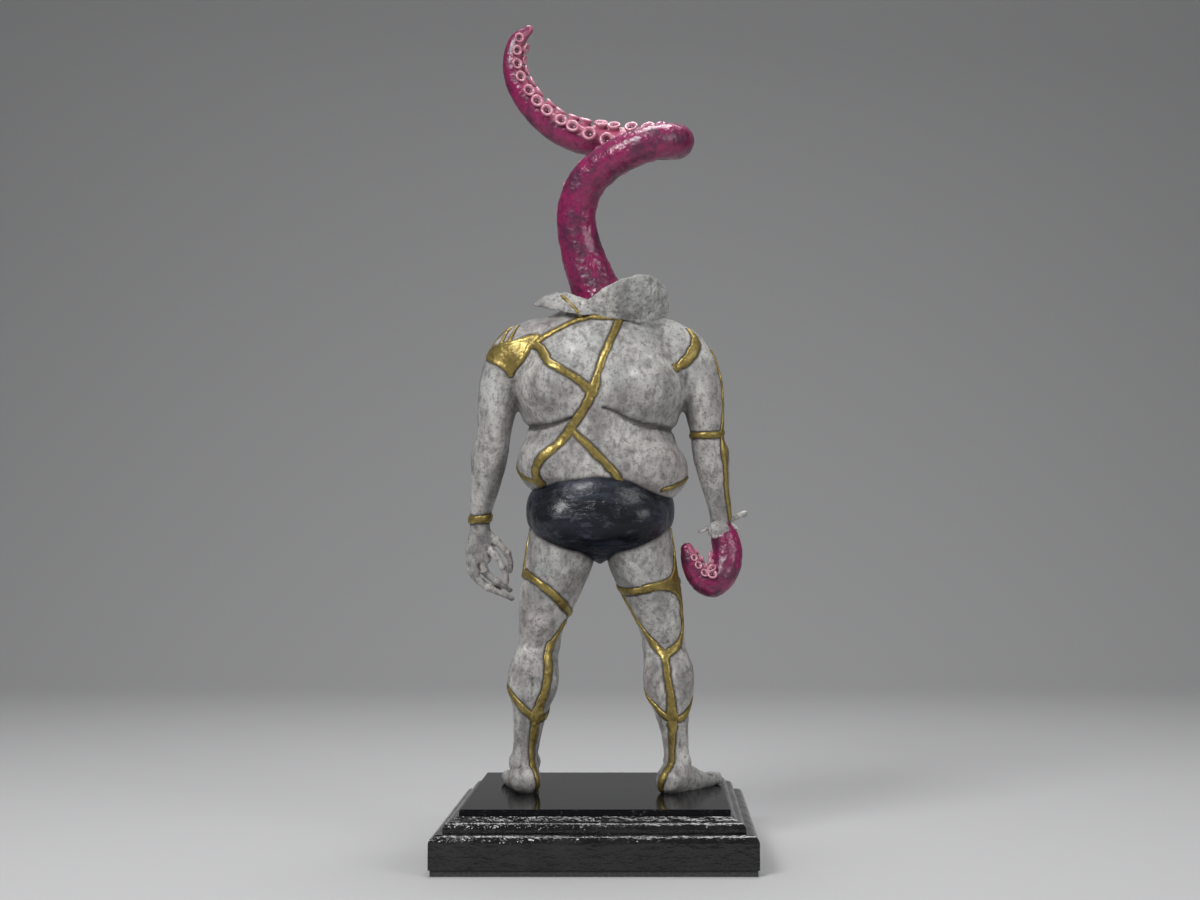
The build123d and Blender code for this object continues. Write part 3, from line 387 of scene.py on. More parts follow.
def nearest_on_lines(points, lines):
    """Gives each point's distance to the nearest of the lines, and the half width there."""
    best = np.full(len(points), 1.0)
    width = np.zeros(len(points))
    for line in lines:
        for (a, wa), (b, wb) in zip(line, line[1:]):
            a, b = np.array(a), np.array(b)
            run = b - a
            share = np.clip(((points - a) @ run) / max(run @ run, 1e-12), 0, 1)
            gap = np.linalg.norm(points - (a + share[:, None] * run), axis=1)
            closer = gap < best
            best[closer] = gap[closer]
            width[closer] = (wa + (wb - wa) * share)[closer]
    return best, width


def carve(piece, lines, depth):
    """Presses soft creases along lines of points with half widths."""
    points, ways = read_points(piece)
    gap, width = nearest_on_lines(points, lines)
    write_points(piece, points - ways * (depth * np.exp(-((gap / np.maximum(width, 1e-6)) ** 2)))[:, None])


def roughen(piece, size, depth):
    """Leaves the low lumps of a hand-worked surface."""
    points, ways = read_points(piece)
    push = np.array([noise.fractal(Vector(point) / size, 0.8, 2.0, 3) for point in points])
    write_points(piece, points + ways * (push * depth)[:, None])


def averaged(piece, points, rounds, hold=None):
    """Moves each point to the middle of its neighbours again and again. Hold is how freely each moves."""
    edges = np.empty(len(piece.data.edges) * 2, np.int32)
    piece.data.edges.foreach_get("vertices", edges)
    edges = edges.reshape(-1, 2)
    count = len(points)
    shares = np.maximum(np.bincount(edges.ravel(), minlength=count), 1).astype(float)
    soft = points.astype(float)
    for _ in range(rounds):
        total = np.empty_like(soft)
        for axis in range(3):
            total[:, axis] = np.bincount(edges[:, 0], soft[edges[:, 1], axis], count)
            total[:, axis] += np.bincount(edges[:, 1], soft[edges[:, 0], axis], count)
        total /= shares[:, None]
        soft = total if hold is None else soft + (total - soft) * hold[:, None]
    return soft


def soften(piece, regions, rounds):
    """Blends masses into each other inside soft round regions, each a height share and three radii in mm."""
    points, _ = read_points(piece)
    hold = np.zeros(len(points))
    for rise, radii in regions:
        away = (points - np.array((0, 0, level(rise)))) / (np.array(radii) * mm)
        hold = np.maximum(hold, np.exp(-(((away**2).sum(1)) ** 2)))
    write_points(piece, averaged(piece, points, rounds, hold))


# The dark wash in hollows, partly painted shade, and the painted shade beside and under the gold seams.
crease_start, crease_range, crease_wash_and_shade = 0.03 * mm, 0.16 * mm, 0.85
seam_share, seam_shade_edge, seam_shade = 1.1, 0.55 * mm, 0.97


def paint_wash_and_shade(piece, lines):
    """Stores how much dark wash and painted shade each point holds: in hollows a wash that is partly painted shade,
    and beside and under the gold painted shade.
    """
    points, ways = read_points(piece)
    hollow = ((averaged(piece, points, 4) - points) * ways).sum(1)
    wash_and_shade = np.clip((hollow - crease_start) / crease_range, 0, crease_wash_and_shade)
    if lines:
        gap, width = nearest_on_lines(points, lines)
        # Painted shade: a dark line beside each gold bead, and dark stone under it.
        edge = np.exp(-(((gap - width * seam_share) / seam_shade_edge) ** 2)) * seam_shade
        wash_and_shade = np.maximum(wash_and_shade, np.where(gap < width * seam_share, seam_shade, edge))
    store = piece.data.attributes.get("wash_and_shade") or piece.data.attributes.new("wash_and_shade", "FLOAT", "POINT")
    store.data.foreach_set("value", wash_and_shade.astype(np.float32))


# Torso rows: height, place forwards, width and depth. Arm and leg rows have their place outwards second.
torso_half_width, torso_half_depth = 42.5 * mm, 36 * mm
torso_rows = (
    (0.590, 0.05, 0.66, 0.62),
    (0.612, 0.07, 0.80, 0.76),
    (0.628, 0.09, 0.88, 0.88),
    (0.648, 0.10, 0.93, 0.96),
    (0.675, 0.11, 0.93, 0.98),
    (0.704, 0.10, 0.91, 0.96),
    (0.727, 0.08, 0.90, 0.92),
    (0.742, 0.08, 0.905, 0.92),
    (0.765, 0.07, 0.95, 0.945),
    (0.790, 0.06, 0.985, 0.955),
    (0.820, 0.04, 0.99, 0.935),
    (0.865, 0.02, 0.99, 0.87),
    (0.905, 0.00, 0.98, 0.775),
    (0.934, 0.00, 0.91, 0.67),
    (0.960, 0.00, 0.74, 0.57),
    (0.981, 0.00, 0.56, 0.50),
    (0.996, 0.00, 0.44, 0.45),
)
# The soft masses that hang on it: x, y, height share, three radii and a tilt in degrees. First the two
# halves of the upper back, the flanks and the belly, then the chest and the shoulders.
torso_lumps = (
    (-19.5, -5.0, 0.826, 23.0, 28.0, 20.5, -5),
    (20.5, -5.0, 0.822, 23.0, 28.0, 21.5, 12),
    (-22.5, -1.0, 0.674, 20.5, 28.5, 17.5, -10),
    (23.0, -1.5, 0.662, 22.5, 29.5, 18.5, 16),
    (0.0, 12.0, 0.680, 30.0, 29.5, 17.0, 0),
    (-18.0, 13.0, 0.836, 20.0, 20.0, 17.0, 0),
    (18.0, 13.0, 0.836, 20.0, 20.0, 17.0, 0),
    (-38.5, 0.0, 0.888, 18.0, 16.5, 17.5, 14),
    (38.5, 0.0, 0.888, 18.0, 16.5, 17.5, -14),
    (-21.0, -2.0, 0.923, 25.0, 16.0, 12.0, 10),
    (21.0, -2.0, 0.923, 25.0, 16.0, 12.0, -10),
)
arm_half_width, arm_half_depth = 12.5 * mm, 13.5 * mm
shoulder_offset, wrist_offset = 40 * mm, 62 * mm
arm_rows = (
    (0.945, -0.15, 0.00, 0.55, 0.60),
    (0.930, 0.00, 0.00, 0.80, 0.82),
    (0.905, 0.20, 0.00, 1.00, 1.00),
    (0.865, 0.38, -0.04, 0.99, 0.98),
    (0.815, 0.52, -0.10, 0.89, 0.90),
    (0.765, 0.60, -0.12, 0.77, 0.82),
    (0.725, 0.65, -0.10, 0.69, 0.74),
    (0.690, 0.71, -0.02, 0.73, 0.74),
    (0.655, 0.79, 0.06, 0.70, 0.72),
    (0.610, 0.88, 0.18, 0.57, 0.60),
    (0.575, 0.96, 0.30, 0.47, 0.50),
    (0.545, 1.00, 0.38, 0.44, 0.42),
)


def torso_middle(height):
    return Vector((0, 0.03 * torso_half_depth, height))


def limb_line(rows, start, end, half_depth, side):
    """Gives a limb's middle line as points, from its rows."""
    return [
        Vector((side * (start + out * (end - start)), forward * half_depth, level(rise)))
        for rise, out, forward, *_ in rows
    ]


def limb_middle(line):
    """Makes a function that gives the point of a limb's middle line at a height."""
    rows = sorted((tuple(point) for point in line), key=lambda point: point[2])

    def at(height):
        for low, high in zip(rows, rows[1:]):
            if height <= high[2]:
                break
        share = (height - low[2]) / (high[2] - low[2])
        return Vector(low).lerp(Vector(high), share)

    return at


torso_bm = bmesh.new()
skin(torso_bm, limb_sections(torso_rows, torso_half_width, torso_half_depth, 5), 64)
arm_lines = {}
for side in (-1, 1):
    arm_lines[side] = limb_line(arm_rows, shoulder_offset, wrist_offset, arm_half_depth, side)
    skin(torso_bm, limb_sections(arm_rows, arm_half_width, arm_half_depth, 5, side, shoulder_offset, wrist_offset))
    elbow, forearm = arm_lines[side][6], arm_lines[side][8]
    lump(torso_bm, elbow + Vector((0, -3.6 * mm, -1 * mm)), (5.6 * mm, 6.6 * mm, 7 * mm))
    lump(torso_bm, forearm + Vector((side * 1.6 * mm, -1 * mm, 6 * mm)), (7.4 * mm, 8.4 * mm, 14 * mm))
for x, y, rise, wide, deep, high, tilt in torso_lumps:
    lump(torso_bm, (x * mm, y * mm, level(rise)), (wide * mm, deep * mm, high * mm), radians(tilt))

# The relaxed left hand is part of the same mass: a palm, four curled fingers and a thumb.
hand_top = arm_lines[-1][-1]
# Palm rows, in mm: how far below the wrist, across, forwards, half width and half depth.
palm_rows = (
    (-4, 0, 0, 4.6, 5.2),
    (3, 0.3, 0.5, 5.4, 4.8),
    (9, 0.0, 1.5, 6.8, 4.6),
    (15, -0.6, 2.5, 6.9, 4.3),
    (20, -0.4, 3.5, 5.8, 3.6),
)
skin(
    torso_bm,
    [
        level_section(
            hand_top.x + across * mm, hand_top.y + ahead * mm, hand_top.z - fall * mm, wide * mm, deep * mm
        )
        for fall, across, ahead, wide, deep in eased(palm_rows, 4)
    ],
)
# Each finger is a line of joints, in mm: across, forwards and how far below the wrist. The thumb is last.
finger_rows = (
    ((-5.0, 4, 16), (-5.2, 4, 23), (-1.8, 5, 28.5), (4.5, 6.5, 32), (9.0, 8, 34)),
    ((-3.0, 1, 17), (-2.6, 0, 25), (2.0, 0, 31), (9.5, 1, 35), (16.5, 2, 38)),
    ((0.8, 2, 17), (2.4, 2.5, 24), (6.8, 4, 28.5), (11.8, 6, 31.5), (15.0, 7.5, 34)),
    ((4.4, 1, 12), (8.2, -1, 16), (11.2, -1.5, 20.5), (13.4, -1, 25.5), (13.8, 0, 30)),
    ((3.6, 0, 4), (8.2, 1, 8.5), (12.6, 2, 13), (15.4, 3, 18.5), (15.2, 4, 24)),
)
for row in finger_rows:
    joints = [hand_top + Vector((x, y, -fall)) * mm for x, y, fall in eased(row, 3)]
    radii = [2.2 * mm * (1 - 0.30 * i / (len(joints) - 1)) for i in range(len(joints))]
    skin(torso_bm, run_sections(joints, radii), 16)
    lump(torso_bm, joints[-1], (1.6 * mm, 1.6 * mm, 1.6 * mm))
    for knuckle in (3, 7):
        lump(torso_bm, joints[knuckle], (2.4 * mm, 2.4 * mm, 2.2 * mm))

torso = clay("body_casting", torso_bm, 0.8 * mm, 3)
soften(torso, ((0.66, (62, 50, 24)), (0.80, (50, 50, 28)), (0.93, (70, 40, 26))), 44)
# Dabs on the torso: height share, then in mm the place, the radii and the push.
torso_dabs = (
    (0.880, -22, -30, (14, 14, 17), 1.6),
    (0.880, 24, -30, (14, 14, 17), 1.6),
    (0.870, 0, -34, (6, 14, 30), -1.3),
    (0.690, 1, -36, (8, 14, 20), -1.2),
    (0.745, 12, -36, (14, 12, 7), -0.9),
    (0.742, -40, -14, (8, 20, 5), -0.9),
    (0.738, 40, -14, (8, 20, 5), -1.2),
    (0.820, -52, 8, (8, 8, 16), 1.0),
    (0.820, 52, 8, (8, 8, 16), 1.0),
    (0.800, -52, -13, (5, 8, 16), 1.2),
    (0.800, 52, -13, (5, 8, 16), 1.2),
)
dab(torso, [((x * mm, y * mm, level(rise)), radii, push) for rise, x, y, radii, push in torso_dabs])


def tree_of(piece):
    """Makes a search tree of a piece's faces."""
    bm = bmesh.new()
    bm.from_mesh(piece.data)
    tree = BVHTree.FromBMesh(bm)
    bm.free()
    return tree


line_step, line_wave, width_wave, width_play = 1.1 * mm, 5 * mm, 3.5 * mm, 0.22


def around_line(tree, middle, rows, half_width, wander=0.0, seed=0):
    """Lays a line on a form. Each row is a height share, a compass angle and a width share."""
    spots = []
    fine = eased([(level(rise), angle, width) for rise, angle, width in rows], 8)
    for height, angle, width in fine:
        start = middle(height)
        way = Vector((cos(radians(angle)), sin(radians(angle)), 0))
        hit = tree.ray_cast(start, way, 90 * mm)[0]
        spots.append((hit, width * half_width))
    lengths = [0.0]
    for (a, _), (b, _) in zip(spots, spots[1:]):
        lengths.append(lengths[-1] + (b - a).length)
    count = max(ceil(lengths[-1] / line_step), 2)
    line = []
    for i in range(count + 1):
        goal = lengths[-1] * i / count
        k = min(max(np.searchsorted(lengths, goal) - 1, 0), len(spots) - 2)
        share = (goal - lengths[k]) / max(lengths[k + 1] - lengths[k], 1e-9)
        point = spots[k][0].lerp(spots[k + 1][0], share)
        width = spots[k][1] + (spots[k + 1][1] - spots[k][1]) * share
        if wander:
            point = point + noise.noise_vector(point / line_wave + Vector((seed, 0, 0))) * wander
            width *= 1 + width_play * noise.noise(point / width_wave + Vector((0, seed, 0)))
        place, out = tree.find_nearest(point)[:2]
        line.append((place, width, out))
    return line


def plain(line):
    return [(tuple(place), width) for place, width, _ in line]


torso_tree = tree_of(torso)
crease_rows = (
    ((0.748, -186, 1.2), (0.742, -165, 1.3), (0.741, -146, 1.2), (0.746, -128, 0.9), (0.756, -114, 0.5)),
    ((0.776, -86, 0.4), (0.768, -76, 0.8), (0.752, -62, 1.2), (0.741, -40, 1.4), (0.740, -4, 1.3)),
    ((0.741, -2, 1.3), (0.735, 45, 1.2), (0.733, 90, 1.3), (0.735, 135, 1.2), (0.748, 178, 1.2)),
)
creases = [plain(around_line(torso_tree, torso_middle, rows, 1.5 * mm)) for rows in crease_rows]
carve(torso, creases, 1.9 * mm)
roughen(torso, 9 * mm, 0.28 * mm)
roughen(torso, 2.6 * mm, 0.07 * mm)
torso_tree = tree_of(torso)

# Legs: each is a mass of its own with its foot and toes, and its top is hidden in the trunks.
thigh_half_width, thigh_half_depth, hip_offset = 17.5 * mm, 20 * mm, 18.5 * mm
leg_rows = (
    (0.560, 0.00, 0.00, 0.94, 0.94),
    (0.520, 0.02, 0.00, 1.00, 1.02),
    (0.460, 0.14, 0.05, 0.99, 1.00),
    (0.400, 0.36, 0.10, 0.88, 0.90),
    (0.345, 0.55, 0.14, 0.71, 0.75),
    (0.300, 0.67, 0.14, 0.60, 0.64),
    (0.255, 0.74, 0.05, 0.655, 0.67),
    (0.205, 0.80, -0.02, 0.65, 0.65),
    (0.155, 0.86, -0.06, 0.49, 0.53),
    (0.105, 0.93, -0.10, 0.385, 0.43),
    (0.065, 0.98, -0.12, 0.375, 0.43),
    (0.030, 1.00, -0.12, 0.42, 0.52),
)
foot_length, foot_half_width, foot_height = 40 * mm, 9 * mm, 17 * mm
# Foot rows run from the heel to the toes: way along, height of the middle, width and height.
foot_rows = (
    (-0.02, 0.30, 0.45, 0.26),
    (0.04, 0.36, 0.76, 0.44),
    (0.16, 0.42, 0.86, 0.54),
    (0.36, 0.34, 0.84, 0.50),
    (0.58, 0.22, 0.98, 0.38),
    (0.76, 0.14, 1.02, 0.28),
    (0.88, 0.10, 0.86, 0.18),
)
# Each toe is its reach, its place across the foot and its size, from the big toe on.
toe_rows = ((0.95, -0.66, 1.30), (0.96, -0.22, 0.95), (0.93, 0.14, 0.88), (0.89, 0.46, 0.82), (0.84, 0.76, 0.80))
toe_radius = 2.9 * mm
legs, leg_middles = {}, {}
for side, ankle_offset, toe_out in ((-1, 38 * mm, 10), (1, 39.5 * mm, 32)):
    leg_bm = bmesh.new()
    leg_middles[side] = limb_middle(limb_line(leg_rows, hip_offset, ankle_offset, thigh_half_depth, side))
    skin(leg_bm, limb_sections(leg_rows, thigh_half_width, thigh_half_depth, 5, side, hip_offset, ankle_offset), 48)
    ahead = Vector((side * sin(radians(toe_out)), cos(radians(toe_out)), 0))
    across = Vector((ahead.y, -ahead.x, 0))
    upright = Vector((0, 0, 1))
    ankle = leg_middles[side](level(0.050))
    heel = Vector((ankle.x, ankle.y, ground)) - ahead * foot_length * 0.25
    skin(
        leg_bm,
        [
            placed(
                heel + ahead * (way * foot_length) + upright * (rise * foot_height),
                (across, upright, ahead),
                (wide * foot_half_width, high * foot_height, foot_half_width),
            )
            for way, rise, wide, high in eased(foot_rows, 4)
        ],
        32,
    )
    lump(leg_bm, heel + ahead * 2.5 * mm + upright * (6 * mm), (7.2 * mm, 7.2 * mm, 7.4 * mm))
    for bone in (-1, 1):
        lump(leg_bm, ankle + across * (bone * 5.4 * mm) + upright * (2 * mm), (2.8 * mm, 3.6 * mm, 4.2 * mm))
    for way, place, size in toe_rows:
        tip = heel + ahead * (way * foot_length) - across * (side * place * foot_half_width)
        radius = toe_radius * size
        joints = [tip - ahead * 6 * mm + upright * (radius * 1.1), tip + upright * (radius * 0.85)]
        skin(leg_bm, run_sections(joints, [radius * 0.95, radius * 0.9]), 16)
        lump(leg_bm, joints[1], (radius, radius, radius * 0.95))
    leg = clay("leg_casting", leg_bm, 0.85 * mm, 6)
    knee, calf, thigh, shin = (leg_middles[side](level(rise)) for rise in (0.290, 0.235, 0.430, 0.120))
    leg_dabs = (
        (calf, (side * 10, -4, 0), (6, 10, 13), 1.9),
        (calf, (side * -10, -4, -4), (6, 10, 12), 1.6),
        (calf, (0, -15, -4), (2.4, 8, 12), -0.9),
        (knee, (0, -13, 2), (8, 6, 5), -1.6),
        (knee, (side * -9, 0, 1), (4, 7, 5), 1.2),
        (knee, (0, 13, 3), (7, 6, 7), 1.8),
        (thigh, (4, -19, 0), (6, 8, 20), 1.0),
        (thigh, (-6, -18, -4), (6, 8, 20), 1.0),
        (shin, (3, -8, -8), (2.4, 6, 12), -0.9),
        (shin, (-3, -8, -8), (2.4, 6, 12), -0.9),
    )
    dab(
        leg,
        [
            (point + Vector([step * mm for step in steps]), radii, push)
            for point, steps, radii, push in leg_dabs
        ],
    )
    roughen(leg, 8 * mm, 0.28 * mm)
    roughen(leg, 2.6 * mm, 0.08 * mm)
    legs[side] = leg
leg_trees = {side: tree_of(leg) for side, leg in legs.items()}

# Gold seams: the breaks were filled and raised with gold lacquer, so each is a soft bead with wandering
# edges that spreads into a web where lines meet. The tables give height, compass angle and width.
gold = material("gold_lacquer", Metallic=0.72, Coat_Weight=0.1, Coat_Roughness=0.3)
rubbed = mask(gold, 160, 0.42, 0.66, 4)
finish(
    gold,
    (0.33, 0.250, 0.074),
    ((rubbed, 1, (0.200, 0.148, 0.042)), (mask(gold, 520, 0.52, 0.70, 3), 0.5, (0.075, 0.05, 0.016))),
    (rubbed, 0.36, 0.56),
    ((mask(gold, 260, 0.3, 0.7, 3), 0.3, 0.0003),),
)

bead_half_width, bead_height, bead_sink = 1.95 * mm, 0.9 * mm, 0.15
knob_width, knob_height = 1.15, 0.8
arm_middles = {side: limb_middle(line) for side, line in arm_lines.items()}
seam_tables = {
    "back_seams": (torso_tree, torso_middle, (
        ((0.962, -63, 0.9), (0.930, -74, 1.0), (0.890, -84, 1.0), (0.850, -90, 1.0),
         (0.812, -95, 1.3), (0.780, -101, 1.1), (0.738, -114, 1.2)),
        ((0.914, -154, 1.2), (0.900, -144, 1.1), (0.866, -127, 1.1), (0.838, -110, 1.0), (0.806, -95, 1.2)),
    )),
    "waist_seams": (torso_tree, torso_middle, (
        ((0.738, -114, 1.2), (0.700, -127, 1.3), (0.668, -137, 1.2), (0.626, -146, 1.3)),
        ((0.732, -114, 0.8), (0.712, -105, 0.9), (0.686, -93, 1.0), (0.656, -80, 1.0), (0.626, -68, 0.9)),
    )),
    "shoulder_seam": (torso_tree, torso_middle, (
        ((0.912, -152, 1.1), (0.938, -138, 0.9), (0.960, -118, 0.8), (0.966, -96, 0.8), (0.964, -66, 0.8)),
        ((0.962, -112, 1.0), (0.976, -108, 0.6)),
    )),
    "front_seams": (torso_tree, torso_middle, (
        ((0.930, 128, 0.9), (0.880, 104, 1.0), (0.820, 88, 1.1), (0.738, 72, 0.9)),
        ((0.738, 72, 0.9), (0.690, 62, 1.0), (0.655, 46, 0.9), (0.634, 30, 0.8)),
    )),
    "hip_seams": (torso_tree, torso_middle, (
        ((0.676, -184, 0.35), (0.656, -172, 0.5), (0.636, -158, 0.7), (0.628, -148, 0.9)),
        ((0.640, -8, 0.4), (0.626, -20, 0.6), (0.612, -34, 0.75)),
    )),
    "right_shoulder_crescent": (torso_tree, arm_middles[1], (
        ((0.946, -40, 0.5), (0.934, -48, 1.0), (0.912, -66, 1.4), (0.888, -92, 1.5), (0.862, -122, 1.0)),
    )),
    "right_arm_seams": (torso_tree, arm_middles[1], (
        ((0.905, -14, 0.4), (0.860, -16, 0.5), (0.800, -12, 0.6), (0.752, -20, 0.8), (0.728, -30, 1.0)),
        ((0.732, -30, 0.9), (0.712, -34, 1.0), (0.690, -38, 1.4), (0.670, -44, 0.8),
         (0.610, -46, 0.8), (0.556, -36, 0.8)),
    )),
    "left_leg_seams": (leg_trees[-1], leg_middles[-1], (
        ((0.535, -186, 0.5), (0.500, -176, 0.6), (0.450, -168, 0.9)),
        ((0.340, -24, 0.9), (0.318, -36, 0.8), (0.290, -54, 1.1), (0.272, -58, 1.4),
         (0.250, -54, 1.2), (0.210, -56, 1.1), (0.150, -68, 1.5)),
        ((0.150, -68, 1.5), (0.128, -64, 1.2), (0.085, -60, 1.0), (0.040, -56, 0.9), (0.008, -50, 0.9)),
    )),
    "right_leg_seams": (leg_trees[1], leg_middles[1], (
        ((0.535, 6, 0.4), (0.480, -10, 0.6), (0.440, -20, 1.0)),
        ((0.400, -22, 1.0), (0.360, -24, 0.7), (0.325, -26, 0.8), (0.300, -50, 1.0), (0.276, -92, 1.2)),
        ((0.404, -160, 0.6), (0.350, -150, 0.6), (0.310, -126, 0.9), (0.276, -94, 1.1)),
        ((0.280, -92, 1.2), (0.240, -92, 0.9), (0.205, -90, 1.0), (0.154, -90, 1.5)),
        ((0.156, -90, 1.5), (0.128, -94, 1.1), (0.100, -104, 1.0), (0.040, -120, 0.9), (0.008, -132, 0.9)),
    )),
}

# Where a shard was lost the gold fills a whole corner, thin and a little sunk between raised edges. Each
# patch spreads over its ribs, and its ribs and its edges are rows like a seam's.
patch_tables = {
    "left_shoulder_patch": (torso_tree, arm_middles[-1], (
        ((0.902, -186, 1.0), (0.897, -170, 0.8), (0.890, -156, 0.8)),
        ((0.908, -140, 0.8), (0.890, -126, 0.8), (0.874, -112, 0.8)),
        ((0.916, -98, 0.8), (0.890, -90, 0.8), (0.862, -84, 0.8)),
        ((0.926, -62, 0.8), (0.890, -64, 0.8), (0.852, -70, 0.8)),
    ), (
        ((0.902, -188, 0.9), (0.908, -140, 0.7), (0.916, -98, 0.7), (0.926, -62, 1.0)),
        ((0.902, -188, 0.9), (0.890, -156, 0.6), (0.874, -112, 0.6), (0.862, -84, 0.6), (0.850, -70, 0.7)),
        ((0.926, -62, 1.0), (0.905, -62, 0.8), (0.880, -64, 0.7), (0.850, -70, 0.7)),
        ((0.910, -124, 0.5), (0.932, -136, 0.38), (0.952, -158, 0.3)),
        ((0.914, -106, 0.5), (0.934, -114, 0.38), (0.954, -134, 0.3)),
        ((0.904, -180, 0.4), (0.928, -176, 0.34), (0.950, -162, 0.3)),
    )),
    "right_thigh_band": (leg_trees[1], leg_middles[1], (
        ((0.421, -88, 0.8), (0.418, -88, 0.8), (0.415, -88, 0.8)),
        ((0.427, -62, 0.8), (0.420, -62, 0.8), (0.412, -62, 0.8)),
        ((0.441, -38, 0.8), (0.424, -38, 0.8), (0.403, -38, 0.8)),
        ((0.466, -18, 0.8), (0.428, -20, 0.8), (0.384, -22, 0.8)),
    ), (
        ((0.416, -98, 0.4), (0.426, -62, 0.5), (0.440, -38, 0.5), (0.474, -15, 0.55)),
        ((0.414, -98, 0.4), (0.412, -62, 0.5), (0.403, -38, 0.5), (0.372, -22, 0.55)),
        ((0.474, -14, 0.6), (0.430, -18, 0.6), (0.372, -22, 0.6)),
    )),
}


def break_plane(middle, height_share, slope_across, slope_ahead=0.10):
    """Gives the point and the way out of the plane on which a limb broke."""
    return middle(level(height_share)), Vector((-slope_across, -slope_ahead, 1)).normalized()


# Each band has its plane, its width, and in mm how far it bows up behind and waves from left to right.
bands = {
    "left_wrist_band": (torso_tree, break_plane(arm_middles[-1], 0.556, 0.06), 1.1, 0, 0),
    "right_elbow_band": (torso_tree, break_plane(arm_middles[1], 0.730, 0.10), 0.9, 0, 0.4),
    "left_thigh_band": (leg_trees[-1], break_plane(leg_middles[-1], 0.395, -0.85), 1.05, 4.4, 0.8),
    "left_shin_band": (leg_trees[-1], break_plane(leg_middles[-1], 0.180, -0.70, 0.50), 0.95, 0, 0.5),
    "right_thigh_band": (leg_trees[1], break_plane(leg_middles[1], 0.420, 0.12), 1.1, 0, -1.3),
    "right_shin_band": (leg_trees[1], break_plane(leg_middles[1], 0.188, -0.20, 0.90), 0.95, 0, 0),
}
band_steps, band_wave, band_play = 48, 4 * mm, 0.25
patch_rows, patch_columns, rib_rows, patch_thickness = 12, 8, 4, 1.3


def band_line(tree, plane, width, bow, wave, seed):
    """Lays a closed line round a limb in the plane of its break, or a little off it."""
    origin, up = plane
    side = (Vector((1, 0, 0)) - up * up.x).normalized()
    other = up.cross(side)
    line = []
    for turn in range(band_steps + 1):
        angle = 2 * pi * turn / band_steps
        hit = tree.ray_cast(origin, side * cos(angle) + other * sin(angle), 40 * mm)[0]
        half = width * bead_half_width * (1 + band_play * noise.noise(hit / band_wave + Vector((0, seed, 0))))
        hit += up * (bow * mm * max(-sin(angle), 0) + wave * mm * sin(2 * angle))
        place, out = tree.find_nearest(hit)[:2]
        line.append((place, half, out))
    return line


def patch_sheet(bm, tree, middle, ribs):
    """Spreads a thin sheet of gold over a form, from the first rib to the last."""
    spots = []
    for k in range(patch_rows + 1):
        low = min(k // rib_rows, len(ribs) - 2)
        rows = [Vector(a).lerp(Vector(b), k / rib_rows - low) for a, b in zip(ribs[low], ribs[low + 1])]
        line = around_line(tree, middle, rows, bead_half_width)
        spots += [line[round(i * (len(line) - 1) / patch_columns)] for i in range(patch_columns + 1)]
    verts = bmesh.ops.create_grid(bm, x_segments=patch_columns, y_segments=patch_rows, size=1)["verts"]
    verts.sort(key=lambda vert: (round(vert.co.y, 4), round(vert.co.x, 4)))
    ways = {}
    for vert, (place, _, out) in zip(verts, spots):
        vert.co = place + out * bead_height * 0.5
        ways[vert.co.to_tuple(7)] = out
    faces = list({face for vert in verts for face in vert.link_faces})
    for item in bmesh.ops.extrude_face_region(bm, geom=faces)["geom"]:
        if isinstance(item, bmesh.types.BMVert):
            item.co -= ways[item.co.to_tuple(7)] * patch_thickness * mm


def bead_sections(line, height):
    """Sets flattened sections over a line on a form, sunk so that their edges meet it."""
    sections = []
    for i, (place, half, out) in enumerate(line):
        ahead = way_along([spot[0] for spot in line], i)
        out = (out - ahead * out.dot(ahead)).normalized()
        foot = place - out * height * bead_sink
        sections.append(placed(foot, (out.cross(ahead), out, ahead), (half, height, half)))
    return sections


def dress(piece, paint, node=None):
    """Paints a piece, fixes it to the body and hides the solid that it stands in for."""
    coat_piece(piece, paint)
    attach(piece, "root")
    if node:
        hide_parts(node)


seam_wander, patch_wander, gold_carve = 0.45 * mm, 0.3 * mm, 0.45 * mm
seam_lines = {}
for count, (node, (tree, middle, tables)) in enumerate(seam_tables.items()):
    seam_lines[node] = [
        around_line(tree, middle, rows, bead_half_width, seam_wander, count * 7.3 + k)
        for k, rows in enumerate(tables)
    ]
for count, (node, (tree, plane, width, bow, wave)) in enumerate(bands.items()):
    seam_lines[node] = [band_line(tree, plane, width, bow, wave, count * 3.7)]
for count, (node, (tree, middle, ribs, edges)) in enumerate(patch_tables.items()):
    lines = seam_lines.setdefault(node, [])
    for k, rows in enumerate(edges):
        lines.append(around_line(tree, middle, rows, bead_half_width, patch_wander, count * 2.3 + k))
for node, lines in seam_lines.items():
    gold_bm = bmesh.new()
    if node in patch_tables:
        patch_sheet(gold_bm, *patch_tables[node][:3])
    for line in lines:
        skin(gold_bm, bead_sections(line, bead_height), 14)
        if node not in bands:
            for place, half, out in (line[0], line[-1]):
                knob = Matrix.Translation(place) @ out.to_track_quat("Z", "Y").to_matrix().to_4x4()
                knob @= Matrix.Diagonal((half * knob_width, half * knob_width, bead_height * knob_height, 1))
                bmesh.ops.create_uvsphere(gold_bm, u_segments=20, v_segments=12, radius=1, matrix=knob)
    piece = clay(node + "_gold", gold_bm, 0.34 * mm, 6)
    roughen(piece, 1.8 * mm, 0.10 * mm)
    dress(piece, gold, node)

# Shards: the casting is cut where it broke, each cut closed, and each shard gets its dark wash and painted shade.
torso_lines = [
    plain(line)
    for node, lines in seam_lines.items()
    if (seam_tables.get(node) or bands.get(node) or patch_tables.get(node))[0] is torso_tree
    for line in lines
]
leg_seams = {
    -1: ("left_leg_seams", "left_thigh_band", "left_shin_band"),
    1: ("right_leg_seams", "right_thigh_band", "right_shin_band"),
}
leg_plain = {side: [plain(line) for node in names for line in seam_lines[node]] for side, names in leg_seams.items()}
# Each casting gets grooves for the gold, then its dark wash and painted shade.
for casting, lines in ((torso, torso_lines), (legs[-1], leg_plain[-1]), (legs[1], leg_plain[1])):
    carve(casting, lines, gold_carve)
    paint_wash_and_shade(casting, lines)
shards = {}


